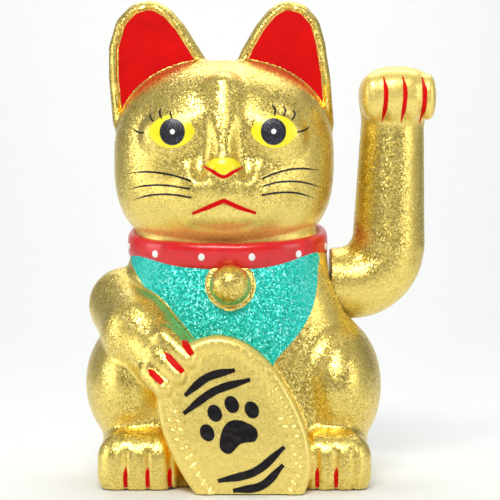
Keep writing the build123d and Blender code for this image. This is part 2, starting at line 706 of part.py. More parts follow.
with BuildPart() as coil_leads:
    for y in (-1.5, 1.5):
        start_x = LEVER_X + COIL_RADIUS
        route = [(start_x, y, 4.2), (37.0, y * 2, 3.5), (37.0, y * 2, BOARD_Z)]
        add(lead(route, radius=COIL_LEAD_RADIUS))
save(coil_leads, "coil_leads")


# ---- raised arm, its shaft and its pendulum ---------------------------------------------------
def arm_half(sign):
    """The front (-1) or back (+1) half shell of the raised arm."""
    with BuildPart() as half:
        add(arm_form(0.0))
        add(half_space(sign), mode=Mode.INTERSECT)
        add(arm_form(ARM_WALL), mode=Mode.SUBTRACT)
        add(along_x(HUB_HOLE_RADIUS, ARM_END_X - 1, ARM_END_X + ARM_WALL + 1), mode=Mode.SUBTRACT)
    return half.part


with BuildPart() as arm_front:
    add(arm_half(-1))
save(arm_front, "arm_front")

with BuildPart() as arm_back:
    add(arm_half(1))
save(arm_back, "arm_back")

HUB_DISC_X = ARM_END_X + ARM_WALL
with BuildPart() as arm_hub:
    add(along_x(ARM_RADIUS - ARM_WALL - 0.1, HUB_DISC_X, HUB_DISC_X + HUB_DISC))
    add(along_x(HUB_HOLE_RADIUS - 0.1, ARM_END_X, HUB_DISC_X))
    add(along_x(4.0, HUB_DISC_X + HUB_DISC, SHAFT_TO_X + 2.0))
    add(along_x(SHAFT_RADIUS, 0, SHAFT_TO_X), mode=Mode.SUBTRACT)
save(arm_hub, "arm_hub")

with BuildPart() as swing_shaft:
    add(along_x(SHAFT_RADIUS, SHAFT_FROM_X, SHAFT_TO_X))
    chamfer(swing_shaft.edges().group_by(Axis.X)[0], 0.3)
save(swing_shaft, "swing_shaft")

with BuildPart() as shaft_clips:
    for start in CLIP_X:
        add(along_x(CLIP_RADIUS, start, start + CLIP_THICK))
        with Locations((start + CLIP_THICK / 2, 0, PIVOT_Z - CLIP_RADIUS / 2)):
            Box(CLIP_THICK, 2.0, CLIP_RADIUS, mode=Mode.SUBTRACT)
    add(along_x(SHAFT_RADIUS, 0, SOCKET_FLOOR_X), mode=Mode.SUBTRACT)
save(shaft_clips, "shaft_clips")

with BuildPart() as pendulum_lever:
    add(along_x(5.0, LEVER_X - 4.0, LEVER_X + 4.0))
    with Locations((LEVER_X, 0, WEIGHT_TOP)):
        Box(3.0, 8.0, LEVER_TOP_Z - WEIGHT_TOP, align=UPWARD)
    with Locations((LEVER_X, WEIGHT_Y, WEIGHT_TOP)):
        Cylinder(WEIGHT_RADIUS + 0.5, 3.0, align=UPWARD)
    add(along_x(SHAFT_RADIUS, 0, SOCKET_FLOOR_X), mode=Mode.SUBTRACT)
save(pendulum_lever, "pendulum_lever")

with BuildPart() as counterweight:
    with Locations((LEVER_X, WEIGHT_Y, WEIGHT_BOTTOM)):
        Cylinder(WEIGHT_RADIUS, WEIGHT_TOP - WEIGHT_BOTTOM, align=UPWARD)
    chamfer(counterweight.edges(), 0.4)
save(counterweight, "counterweight")

with BuildPart() as magnet:
    with Locations((LEVER_X, 0, MAGNET_BOTTOM)):
        Cylinder(MAGNET_RADIUS, WEIGHT_BOTTOM - MAGNET_BOTTOM, align=UPWARD)
save(magnet, "magnet")


# ---- body shells ------------------------------------------------------------------------------
outer = body_form(0.0) + [collar_form(), Sphere(BELL_RADIUS).moved(Location(BELL_CENTRE))]
cavity = body_form(WALL)


def screw_bosses(places, wall_way):
    """Tubes for the base plate's screws, each with a web to the wall in front or behind it."""
    with BuildPart() as bosses:
        for x, y in places:
            with Locations((x, y, PLATE_TOP)):
                Cylinder(BOSS_RADIUS, BOSS_HEIGHT, align=UPWARD)
            with Locations((x, y + wall_way * BOSS_HEIGHT / 2, PLATE_TOP)):
                Box(1.6, BOSS_HEIGHT, BOSS_HEIGHT, align=UPWARD)
        add(footprint(WALL / 2), mode=Mode.INTERSECT)
    return bosses.part


def half_shell(sign, screw_places):
    """The front (-1) or back (+1) half shell of the body."""
    bosses = screw_bosses(screw_places, sign)
    with BuildPart() as shell:
        add(outer)
        add(half_space(sign), mode=Mode.INTERSECT)
        add(slab(-50, SHELL_BOTTOM), mode=Mode.SUBTRACT)
        add(cavity, mode=Mode.SUBTRACT)
        add(bosses)
        for x, y in screw_places:
            with Locations((x, y, PLATE_TOP)):
                Cylinder(BASE_SCREW_RADIUS, 10.0, align=UPWARD, mode=Mode.SUBTRACT)
        # hole for the arm's shaft
        add(along_x(3.2, SOCKET_FLOOR_X - 5, SOCKET_FLOOR_X + 5), mode=Mode.SUBTRACT)
    return shell.part


with BuildPart() as front_shell:
    add(half_shell(-1, FRONT_SCREWS))
save(front_shell, "front_shell")

with BuildPart() as back_shell:
    add(half_shell(1, BACK_SCREWS))
save(back_shell, "back_shell")
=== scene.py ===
import json
import math

import bmesh
import bpy
import numpy as np
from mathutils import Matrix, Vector
from mathutils.geometry import delaunay_2d_cdt


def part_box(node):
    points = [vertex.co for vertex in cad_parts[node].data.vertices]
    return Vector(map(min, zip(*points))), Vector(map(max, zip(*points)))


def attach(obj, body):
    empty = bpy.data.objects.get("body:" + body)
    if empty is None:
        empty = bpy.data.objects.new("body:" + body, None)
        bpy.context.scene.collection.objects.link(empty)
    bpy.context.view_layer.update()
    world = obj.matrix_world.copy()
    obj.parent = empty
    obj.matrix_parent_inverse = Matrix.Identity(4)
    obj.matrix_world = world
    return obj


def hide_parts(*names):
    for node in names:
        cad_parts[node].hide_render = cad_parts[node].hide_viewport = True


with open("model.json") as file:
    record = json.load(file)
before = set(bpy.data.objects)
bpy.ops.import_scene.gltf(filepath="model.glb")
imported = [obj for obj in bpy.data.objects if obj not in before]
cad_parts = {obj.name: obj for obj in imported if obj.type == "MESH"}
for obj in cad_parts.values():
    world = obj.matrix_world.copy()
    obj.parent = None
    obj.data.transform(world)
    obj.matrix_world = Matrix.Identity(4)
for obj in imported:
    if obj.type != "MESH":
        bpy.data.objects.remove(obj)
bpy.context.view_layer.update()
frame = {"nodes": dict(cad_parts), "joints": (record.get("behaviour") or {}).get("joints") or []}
MM = 0.001  # the frame is in metres

# The sculpted forms are worked out in millimetres, in the frame's axes: the cat faces -Y.

# ---- driving dimensions, in millimetres --------------------------------------
GRID = 1.0  # spacing of the sculpting grid
WALL, ARM_WALL = ((2.05, 1.75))  # at least a grid cell's diagonal
SHELL_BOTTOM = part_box("front_shell")[0].z / MM  # the shells' lower rim
PIVOT_Z = frame["joints"][0]["pos_m"][2] / MM
SOCKET_X, SOCKET_RADIUS, SHAFT_HOLE = 39.0, 17.0, 3.2

FACE_X = -4.0  # the face is the same on both sides of this plane
HEAD_CENTRE, HEAD_RADII = (-4.2, -2.0, 134.0), (46.2, 37.0, 40.6)
HEAD_LOWER_POWER, HEAD_UPPER_POWER, HEAD_ROUND_POWER = 2.8, 2.3, 2.4

TORSO_LEVELS = [  # height, centre x, half width, half depth
    (-4.0, 0.0, 51.0, 36.0),
    (15.0, 0.0, 53.0, 38.0),
    (35.0, 0.0, 52.0, 38.0),
    (55.0, 0.0, 50.0, 36.5),
    (70.0, -0.5, 47.5, 34.5),
    (85.0, -1.5, 44.0, 31.5),
    (97.0, -2.5, 40.0, 28.5),
    (106.0, -3.0, 36.5, 26.0),
]
TORSO_CENTRE_Y, TORSO_POWER = 1.0, 2.8

EAR_CORNERS = [  # the left ear's arched outline, inside its rounding
    (-41.8, 150.0), (-43.4, 168.0), (-43.4, 179.0), (-41.2, 186.6), (-38.4, 189.6),
    (-35.4, 190.4), (-32.6, 188.8), (-28.4, 184.1), (-16.4, 165.0), (-22.0, 150.0),
]
EAR_ROUND = 9.3
EARS_MIDDLE_X = -5.5
LEFT_EDGE_X, RIGHT_EDGE_X = -14.4, 3.3  # the ears' inner edges
RIGHT_NARROWER, LEAN_BELOW_Z, RIGHT_LEAN = 0.925, 179.0, 0.17  # the right ear is narrower and leans
EAR_FRONT_Y, EAR_BACK_Y, EAR_EDGE_ROUND = -9.0, 6.0, 4.5
EAR_RIM, EAR_HOLLOW = 3.5, 1.6
LINING_GAP = 0.9  # left gold between the red lining and the hollow's edge

# the face's relief: centre, measured from FACE_X, radii, and fillet into the head
MUZZLE = (0.0, -31.5, 117.0), (23.0, 9.6, 12.5), 9.0
PUFF = (7.4, -36.2, 119.6), (9.6, 5.6, 7.2), 6.0
NOSE_TIP = (0.0, -40.4, 127.6), (7.2, 3.0, 3.8), 2.5
EYE_BULGE = (20.0, -32.4, 141.6), (12.0, 5.6, 9.0), 5.0
NOSE_SIDE = (9.4, -42.0, 136.5), (4.2, 5.2, 12.5), 5.0  # carved out
BRIDGE_TOP, BRIDGE_FOOT = ((0.0, -30.0, 160.0), 6.2), ((0.0, -38.0, 128.0), 4.6)
MOUTH_HALF, MOUTH_MIDDLE_Z, MOUTH_CORNER_Z = 12.6, 114.4, 109.2
LIP_Z, LIP_HALF_X, LIP_HALF_Z = 107.6, 9.5, 2.9
FOLD_Z, FOLD_BOW = 103.4, 0.012  # the crease under the lower lip
MOUTH_DEPTH, GROOVE_DEPTH, LIP_RISE, FOLD_DEPTH = 0.45, 0.3, 0.8, 0.6

HAUNCHES = [((-40.5, -6.0, 40.0), (21.3, 33.0, 27.5)), ((42.3, -8.0, 39.0), (19.0, 31.0, 28.0))]
FEET = [(-37.5, 16.5), (40.6, 14.5)]  # centre x, half width
FOOT_Y, FOOT_HALF_Y, FOOT_BOTTOM, FOOT_TOP = -27.5, 17.5, -4.6, 23.0
FOOT_ROUND, FOOT_DOME = 8.0, 11.0
TOE_GROOVES, TOE_GROOVE_DEPTH = (-42.3, -33.6, -24.9, 33.2, 40.7, 47.6), 1.2

HOLDING_ARM = [((-45.0, -6.0, 72.0), 15.8), ((-38.0, -26.0, 62.0), 15.0), ((-27.0, -37.0, 52.0), 13.0)]
FINGERS = [  # the fingers laid over the coin's edge: root, tip
    ((-27.0, -44.0, 60.0), (-17.5, -49.5, 52.0)),
    ((-29.0, -45.0, 53.0), (-21.5, -50.5, 46.0)),
    ((-32.0, -45.0, 47.0), (-27.0, -50.5, 41.0)),
]
FINGER_RADIUS = 5.2

COIN_CENTRE = (0.5, -53.0, 25.0)
COIN_HALF, COIN_POWER = (26.0, 38.0), 2.3  # half width, half height
COIN_TILT, COIN_LEAN = math.radians(27.0), math.radians(4.0)
COIN_DEPTH, COIN_EDGE, COIN_RELIEF = 28.0, 3.0, 1.3
INNER_DROP, NOTCH_DEPTH, NOTCHES, DENT_DEPTH = 0.8, 0.34, 50, 0.16

TAIL = [
    (10.0, 33.0, 9.0), (20.0, 37.0, 11.5), (27.5, 38.0, 17.0), (32.0, 36.5, 25.0), (33.0, 34.0, 34.0),
]
TAIL_RADIUS = 7.0

COLLAR_CENTRE, COLLAR_HALF, COLLAR_POWER = (-2.7, 0.0, 98.0), (42.2, 33.0), 2.3
COLLAR_HALF_HEIGHT, COLLAR_THICK, COLLAR_DIP = 5.3, 2.8, math.radians(11.0)
DOT_COUNT, DOT_HALF_WIDTH, DOT_HALF_HEIGHT, DOT_SIDES = 12, 1.35, 1.55, 28
BELL_CENTRE, BELL_RADIUS, BELL_SEAT = (-1.2, -35.5, 80.9), 8.2, 10.2

ARM_RADIUS, ARM_END_X, ELBOW_BEND = 15.0, 40.5, 16.0
FOREARM_X, FOREARM_RADIUS, ELBOW_FILLET = 65.3, 15.3, 7.0
WRIST_X, WRIST_Z, WRIST_RADIUS = 67.1, 150.0, 13.2
PAW_CENTRE, PAW_RADII, PAW_POWER = (68.4, -5.0, 160.0), (16.1, 15.0, 11.9), 2.35
PAW_GROOVES = (61.7, 69.5, 77.7)
TOE_Y, TOE_Z, TOE_HALF_Y, TOE_HALF_Z = -12.6, 158.4, 6.6, 9.4
HUB_HOLE = 5.0

# the boxes that hold the gold surfaces
BODY_LOW, BODY_HIGH = (-66.0, -60.0, SHELL_BOTTOM - 3 * GRID), (66.0, 47.5, 203.0)
ARM_LOW, ARM_HIGH = (38.0, -24.0, 63.0), (88.0, 18.0, 176.0)
SEAM = 0.25  # how far the shells' joining edges are drawn in
HOLLOW_REACH = 4.0  # how far out from a surface its hollows are felt, for the painted crease shade


# ---- distance fields ---------------------------------------------------------
def blend(a, b, k):
    """The union of two fields with a fillet of about k."""
    h = np.clip(0.5 + 0.5 * (b - a) / k, 0.0, 1.0)
    return b + (a - b) * h - k * h * (1.0 - h)


def carve(a, b, k):
    """Field a without field b, with a rounded edge."""
    return -blend(-a, b, k)


def smooth(value, low, high):
    """0 below low, 1 above high, and a smooth step between."""
    t = np.clip((value - low) / (high - low), 0.0, 1.0)
    return t * t * (3.0 - 2.0 * t)


def hill(distance, width):
    """A smooth bell curve, 1 at no distance."""
    return np.exp(-((distance / width) ** 2))


def egg(x, y, z, centre, radii, power=2.0, up_power=None):
    """A superellipsoid's distance field."""
    up = power if up_power is None else up_power
    dx, dy, dz = x - centre[0], y - centre[1], z - centre[2]
    flat = (np.abs(dx) / radii[0]) ** power + (np.abs(dy) / radii[1]) ** power
    size = (flat ** (up / power) + (np.abs(dz) / radii[2]) ** up) ** (1.0 / up) + 1e-4
    return np.sqrt(dx * dx + dy * dy + dz * dz) * (1.0 - 1.0 / size) - 1e-4 * radii[0]


def rod(x, y, z, a, b, radius_a, radius_b):
    """A straight limb with round ends."""
    way = np.subtract(b, a)
    t = ((x - a[0]) * way[0] + (y - a[1]) * way[1] + (z - a[2]) * way[2]) / np.dot(way, way)
    t = np.clip(t, 0.0, 1.0)
    dx, dy, dz = x - a[0] - t * way[0], y - a[1] - t * way[1], z - a[2] - t * way[2]
    return np.sqrt(dx * dx + dy * dy + dz * dz) - radius_a - t * (radius_b - radius_a)


def polygon(u, v, corners):
    """Signed distance to a polygon, negative inside."""
    u, v = np.broadcast_arrays(u, v)
    nearest = np.full(np.shape(u), 1e9)
    inside = np.zeros(np.shape(u), bool)
    for (au, av), (bu, bv) in zip(corners, corners[1:] + corners[:1]):
        eu, ev = bu - au, bv - av
        wu, wv = u - au, v - av
        t = np.clip((wu * eu + wv * ev) / (eu * eu + ev * ev), 0.0, 1.0)
        nearest = np.minimum(nearest, (wu - t * eu) ** 2 + (wv - t * ev) ** 2)
        if bv != av:
            crosses = ((av <= v) != (bv <= v)) & (u < au + eu * (v - av) / ev)
            inside ^= crosses
    return np.where(inside, -1.0, 1.0) * np.sqrt(nearest)


def rounded(flat, across, radius):
    """A prism's field from the distances to its outline and to its two ends, with rounded edges."""
    a, b = flat + radius, across + radius
    outside = np.hypot(np.maximum(a, 0.0), np.maximum(b, 0.0))
    return outside + np.minimum(np.maximum(a, b), 0.0) - radius


def smooth_levels(rows):
    """A fine table of heights and values, on a smooth curve through the rows."""
    rows = np.array(rows)
    at = np.linspace(rows[0, 0], rows[-1, 0], 120)
    slopes = np.gradient(rows[:, 1:], rows[:, 0], axis=0)
    i = np.clip(np.searchsorted(rows[:, 0], at, side="right") - 1, 0, len(rows) - 2)
    step = rows[i + 1, 0] - rows[i, 0]
    t = ((at - rows[i, 0]) / step)[:, None]
    step = step[:, None]
    low, high = rows[i, 1:], rows[i + 1, 1:]
    h00, h10 = 2 * t**3 - 3 * t**2 + 1, t**3 - 2 * t**2 + t
    h01, h11 = -2 * t**3 + 3 * t**2, t**3 - t**2
    return at, h00 * low + h10 * step * slopes[i] + h01 * high + h11 * step * slopes[i + 1]


def gauge(u, v, half_u, half_v, power):
    """1 on a superellipse, less inside it."""
    return ((np.abs(u) / half_u) ** power + (np.abs(v) / half_v) ** power) ** (1 / power)


def oval(u, v, half_u, half_v, power):
    """A superellipse's distance field."""
    return np.hypot(u, v) * (1.0 - 1.0 / (gauge(u, v, half_u, half_v, power) + 1e-4))


TORSO_Z, TORSO_TABLE = smooth_levels(TORSO_LEVELS)


def torso(x, y, z):
    """Torso and neck."""
    centre_x, half_x, half_y = (np.interp(z, TORSO_Z, TORSO_TABLE[:, i]) for i in range(3))
    side = oval(x - centre_x, y - TORSO_CENTRE_Y, half_x, half_y, TORSO_POWER)
    return np.maximum(side, z - TORSO_LEVELS[-1][0])


def head(x, y, z):
    """Head without its ears or face."""
    lower = egg(x, y, z, HEAD_CENTRE, HEAD_RADII, HEAD_ROUND_POWER, HEAD_LOWER_POWER)
    upper = egg(x, y, z, HEAD_CENTRE, HEAD_RADII, HEAD_ROUND_POWER, HEAD_UPPER_POWER)
    return np.where(z > HEAD_CENTRE[2], upper, lower)


def ear_outline(x, z):
    """Signed distance to the nearer ear's outline, seen from the front."""
    lean = RIGHT_LEAN * np.maximum(LEAN_BELOW_Z - z, 0.0)
    from_right = LEFT_EDGE_X - (x - RIGHT_EDGE_X) / RIGHT_NARROWER + lean
    return polygon(np.where(x < EARS_MIDDLE_X, x, from_right), z, EAR_CORNERS) - EAR_ROUND


def ears(x, y, z):
    """Both ears, each a rounded plate with a shallow hollow in its front."""
    flat = ear_outline(x, z)
    across = np.abs(y - (EAR_FRONT_Y + EAR_BACK_Y) / 2) - (EAR_BACK_Y - EAR_FRONT_Y) / 2
    plate = rounded(flat, across, EAR_EDGE_ROUND)
    hollow = rounded(flat + EAR_RIM, y - (EAR_FRONT_Y + EAR_HOLLOW), 0.8)
    return carve(plate, hollow, 0.6)


def shaped(join, f, x, y, z, part):
    """Field f with a part of the face's relief joined to it, by blend or by carve."""
    centre, radii, fillet = part
    return join(f, egg(x, y, z, centre, radii), fillet)


def face(f, x, y, z):
    """The face's relief, added to the head's field f."""
    side = np.abs(x - FACE_X)
    f = shaped(blend, f, side, y, z, MUZZLE)
    f = shaped(blend, f, side, y, z, PUFF)
    f = blend(f, rod(side, y, z, BRIDGE_TOP[0], BRIDGE_FOOT[0], BRIDGE_TOP[1], BRIDGE_FOOT[1]), 5.0)
    f = shaped(blend, f, side, y, z, NOSE_TIP)
    f = shaped(carve, f, side, y, z, NOSE_SIDE)
    f = shaped(blend, f, side, y, z, EYE_BULGE)
    # the mouth, the groove above it, the lower lip and the fold under it
    front = smooth(-y, 20.0, 30.0)
    fall = (MOUTH_MIDDLE_Z - MOUTH_CORNER_Z) / MOUTH_HALF
    mouth = np.abs(z - (MOUTH_MIDDLE_Z - fall * side)) / math.hypot(1.0, fall)
    past_end = np.maximum(side - MOUTH_HALF, 0.0)
    f = f + MOUTH_DEPTH * front * hill(np.hypot(mouth, past_end), 1.1)
    groove = hill(side, 0.9) * smooth(z, 114.5, 117.0) * (1 - smooth(z, 121.0, 124.0))
    f = f + GROOVE_DEPTH * front * groove
    f = f - LIP_RISE * front * hill(np.hypot(side / LIP_HALF_X, (z - LIP_Z) / LIP_HALF_Z), 1.0)
    fold = np.abs(z - (FOLD_Z + FOLD_BOW * side**2))
    return f + FOLD_DEPTH * front * hill(fold, 1.6) * (1 - smooth(side, 10.0, 15.0))


def coin_axes():
    """The coin's centre, and its across, up and outward directions."""
    out = np.array([0.0, -math.cos(COIN_LEAN), math.sin(COIN_LEAN)])
    up = np.array([-math.sin(COIN_TILT), 0.0, math.cos(COIN_TILT)])
    up -= out * np.dot(up, out)
    up /= np.linalg.norm(up)
    return np.array(COIN_CENTRE), np.cross(up, out), up, out


COIN_AXES = coin_axes()


def coin_place(x, y, z):
    """A point's across, up and outward places on the coin."""
    centre, across, up, out = COIN_AXES
    dx, dy, dz = x - centre[0], y - centre[1], z - centre[2]
    return tuple(dx * axis[0] + dy * axis[1] + dz * axis[2] for axis in (across, up, out))


def dents(u, v):
    """Hammered dents, between -1 and 1."""
    wave = np.sin(0.9 * u + 1.7 * np.sin(0.55 * v)) * np.sin(1.05 * v + 1.3 * np.sin(0.7 * u + 1.0))
    return 0.6 * wave + 0.4 * np.sin(1.9 * u - 1.4 * v) * np.sin(1.7 * v + 0.8 * u)


def coin(x, y, z, fine=True):
    """The oval coin with its raised, notched rim and the hammered face inside it."""
    u, v, w = coin_place(x, y, z)
    flat = oval(u, v, *COIN_HALF, COIN_POWER)
    body = rounded(flat, np.maximum(w, -COIN_DEPTH - w), COIN_EDGE)
    if not fine:
        return body + COIN_RELIEF
    around = np.arctan2(v / COIN_HALF[1], u / COIN_HALF[0])
    inner = smooth(-flat, 5.2, 6.4)
    notched = smooth(-flat, 3.0, 3.8) * (1 - smooth(-flat, 7.6, 9.4))
    relief = (INNER_DROP - DENT_DEPTH * dents(u, v)) * inner
    relief = relief + NOTCH_DEPTH * notched * np.cos(NOTCHES * around)
    return body + relief * smooth(w, -4.0, -2.0)


def chain(x, y, z, points, k):
    """A limb through several points, each with its radius, and fillets of about k between."""
    f = None
    for (a, radius_a), (b, radius_b) in zip(points, points[1:]):
        part = rod(x, y, z, a, b, radius_a, radius_b)
        f = part if f is None else blend(f, part, k)
    return f


def feet(x, y, z):
    """Both hind feet."""
    f = None
    for centre_x, half_x in FEET:
        flat = rounded(np.abs(x - centre_x) - half_x, np.abs(y - FOOT_Y) - FOOT_HALF_Y, FOOT_ROUND)
        foot = rounded(flat, np.maximum(z - FOOT_TOP, FOOT_BOTTOM - z), FOOT_DOME)
        f = foot if f is None else np.minimum(f, foot)
    return f


def body_form(x, y, z, fine=True):
    """The body with all its relief, or a plainer one for the space inside it."""
    f = torso(x, y, z)
    for centre, radii in HAUNCHES:
        f = blend(f, egg(x, y, z, centre, radii), 5.0)
    foot = feet(x, y, z)
    arm = chain(x, y, z, HOLDING_ARM, 3.0)
    if fine:
        toes = sum(hill(x - at, 1.1) for at in TOE_GROOVES)
        foot = foot + TOE_GROOVE_DEPTH * toes * smooth(-y, 28.0, 36.0) * (1 - smooth(z, 13.0, 19.0))
        for root, tip in FINGERS:
            arm = blend(arm, rod(x, y, z, root, tip, FINGER_RADIUS, FINGER_RADIUS - 1.2), 1.6)
    else:
        foot = foot + 1.0
    f = blend(f, foot, 5.0)
    f = blend(f, coin(x, y, z, fine), 1.2)
    f = blend(f, arm, 2.0)
    f = blend(f, face(head(x, y, z), x, y, z), 2.0)
    if fine:
        f = blend(f, chain(x, y, z, [(p, TAIL_RADIUS) for p in TAIL], 1.0), 3.0)
        f = blend(f, ears(x, y, z), 1.6)
        seat = np.hypot(x - BELL_CENTRE[0], z - BELL_CENTRE[2]) - BELL_SEAT
        f = blend(f, np.maximum(torso(x, y, z) - 0.75, np.maximum(seat, y)), 0.3)
        f = blend(f, egg(x, y, z, BELL_CENTRE, (BELL_RADIUS,) * 3), 0.8)
    return f


def recess(x, y, z, grow=0.0):
    """Positive inside the arm's round recess in the body's side, its wall moved out by grow."""
    radial = np.hypot(y, z - PIVOT_Z) - SOCKET_RADIUS - grow
    return -np.maximum(radial, SOCKET_X - grow - x)


def body_skin(x, y, z):
    """The body's outer surface."""
    return np.maximum(body_form(x, y, z), recess(x, y, z))


def body_shell(x, y, z):
    """The wall of the body's shells, with the hole for the arm's shaft."""
    hollow = np.maximum(body_form(x, y, z, fine=False) + WALL, recess(x, y, z, WALL))
    shaft = np.maximum(np.hypot(y, z - PIVOT_Z) - SHAFT_HOLE, 30.0 - x)
    return np.maximum(np.maximum(body_skin(x, y, z), -hollow), -shaft)


# ---- raised arm --------------------------------------------------------------
def elbow(x, y, z):
    """The raised arm's bend, a quarter of a ring."""
    bend_x, bend_z = FOREARM_X - ELBOW_BEND, PIVOT_Z + ELBOW_BEND
    ring = np.hypot(np.abs(np.hypot(x - bend_x, z - bend_z) - ELBOW_BEND), y) - ARM_RADIUS
    return np.where((x > bend_x) & (z < bend_z), ring, 1e3)


def arm_form(x, y, z):
    """The raised arm without its toes."""
    bend_x, bend_z = FOREARM_X - ELBOW_BEND, PIVOT_Z + ELBOW_BEND
    shoulder = (ARM_END_X - ARM_RADIUS, 0, PIVOT_Z)
    upper = rod(x, y, z, shoulder, (bend_x, 0, PIVOT_Z), ARM_RADIUS, ARM_RADIUS)
    fore = rod(x, y, z, (FOREARM_X, 0, bend_z), (WRIST_X, 0, WRIST_Z), FOREARM_RADIUS, WRIST_RADIUS)
    f = np.minimum(blend(upper, fore, ELBOW_FILLET), elbow(x, y, z))
    f = blend(f, egg(x, y, z, PAW_CENTRE, PAW_RADII, PAW_POWER), 4.0)
    return carve(f, x - ARM_END_X, 0.8)


def arm_skin(x, y, z):
    """The raised arm's outer surface."""
    f = arm_form(x, y, z)
    edges = (PAW_CENTRE[0] - PAW_RADII[0] + 1.0, *PAW_GROOVES, PAW_CENTRE[0] + PAW_RADII[0] - 1.0)
    for low, high in zip(edges, edges[1:]):
        centre, radii = ((low + high) / 2, TOE_Y, TOE_Z), ((high - low) / 2 + 0.3, TOE_HALF_Y, TOE_HALF_Z)
        f = blend(f, egg(x, y, z, centre, radii, 2.3), 2.2)
    return f


def arm_shell(x, y, z):
    """The wall of the raised arm's two halves, with the hole that its hub fills."""
    wall = np.maximum(arm_skin(x, y, z), -(arm_form(x, y, z) + ARM_WALL))
    hole = np.maximum(np.hypot(y, z - PIVOT_Z) - HUB_HOLE, x - ARM_END_X - 4.0)
    return np.maximum(wall, -hole)


# ---- from fields to meshes ---------------------------------------------------
def slope(field, p, reach=0.05):
    """A field's value and gradient at points."""
    value = field(*p.T)
    grad = np.empty_like(p)
    for i in range(3):
        step = np.zeros(3)
        step[i] = reach
        grad[:, i] = (field(*(p + step).T) - field(*(p - step).T)) / (2 * reach)
    return value, grad


def normals(field, p):
    """Outward directions at points on a field's surface."""
    grad = slope(field, p, 0.3)[1]
    return grad / np.maximum(np.linalg.norm(grad, axis=1, keepdims=True), 1e-6)


def untangle(values):
    """Flip a corner of each grid square whose signs alternate, so no two sheets meet in an edge."""
    near, far = slice(None, -1), slice(1, None)
    for a, b in ((0, 1), (0, 2), (1, 2)) * 3:
        squares = []
        for at_a, at_b in ((near, near), (far, near), (near, far), (far, far)):
            chosen = [slice(None)] * 3
            chosen[a], chosen[b] = at_a, at_b
            squares.append(values[tuple(chosen)])
        first, second, third, last = (square < 0 for square in squares)
        alternate = (first == last) & (second == third) & (first != second)
        squares[0][alternate] = np.where(first[alternate], 1e-3, -1e-3)


def surface_net(field, low, high):
    """Points and quads of a field's surface, inside a box."""
    axes = [np.arange(a, b + GRID, GRID) for a, b in zip(low, high)]
    grid = np.meshgrid(*(a.astype(np.float32) for a in axes), indexing="ij", sparse=True)
    values = np.asarray(field(*grid), dtype=np.float32)
    shape = np.array(values.shape)
    strides = np.array([shape[1] * shape[2], shape[2], 1])
    untangle(values)
    inside = values < 0
    count = np.zeros(values.size)
    total = np.zeros((3, values.size))
    edges = []
    for axis in range(3):
        index = np.argwhere(np.diff(inside, axis=axis))
        others = [a for a in range(3) if a != axis]
        index = index[(index[:, others] > 0).all(1) & (index[:, others] < shape[others] - 1).all(1)]
        flat = index @ strides
        a = values.ravel()[flat].astype(float)
        b = values.ravel()[flat + strides[axis]].astype(float)
        place = index.astype(float)
        place[:, axis] += a / (a - b)
        first, other = strides[others]
        cells = [flat - u * first - v * other for u, v in ((1, 1), (0, 1), (0, 0), (1, 0))]
        every = np.concatenate(cells)
        count += np.bincount(every, minlength=values.size)
        for i in range(3):
            total[i] += np.bincount(every, weights=np.tile(place[:, i], 4), minlength=values.size)
        edges.append((np.stack(cells, 1), a < 0, axis))
    used = np.flatnonzero(count)
    points = (total[:, used] / count[used]).T * GRID + np.array([a[0] for a in axes])
    number = np.full(values.size, -1)
    number[used] = np.arange(len(used))
    quads = []
    for cells, leaving, axis in edges:
        corners = number[cells]
        flip = leaving if axis != 1 else ~leaving
        corners[~flip] = corners[~flip][:, ::-1]
        quads.append(corners)
    return points, np.concatenate(quads)


def spread(points, quads, field):
    """Even out the points of a net, in rounds that each end back on the field's surface."""
    start, end = quads.ravel(), np.roll(quads, -1, axis=1).ravel()
    start, end = np.concatenate([start, end]), np.concatenate([end, start])
    degree = np.bincount(start, minlength=len(points))
    for evenings in ((0.7, 0.6), (0.6, 0.5), (0.4,), ()):
        for evening in evenings:
            around = [np.bincount(start, weights=points[end, i], minlength=len(points)) for i in range(3)]
            points += evening * (np.stack(around, 1) / degree[:, None] - points)
        value, grad = slope(field, points)
        move = value[:, None] * grad / np.maximum((grad * grad).sum(1, keepdims=True), 0.2)
        points -= np.clip(move, -0.4 * GRID, 0.4 * GRID)


def triangles(points, quads):
    """Each quad cut along its shorter diagonal."""
    corners = [points[quads[:, i]] for i in range(4)]
    first = np.linalg.norm(corners[0] - corners[2], axis=1)
    other = np.linalg.norm(corners[1] - corners[3], axis=1) < first
    halves = []
    for along_first, along_other in (([0, 1, 2], [1, 2, 3]), ([0, 2, 3], [1, 3, 0])):
        halves.append(np.where(other[:, None], quads[:, along_other], quads[:, along_first]))
    return np.concatenate(halves)


def skinned(field, low, high):
    """Evenly spread points and triangles of a field's surface, inside a box."""
    points, quads = surface_net(field, low, high)
    spread(points, quads, field)
    return points, triangles(points, quads)


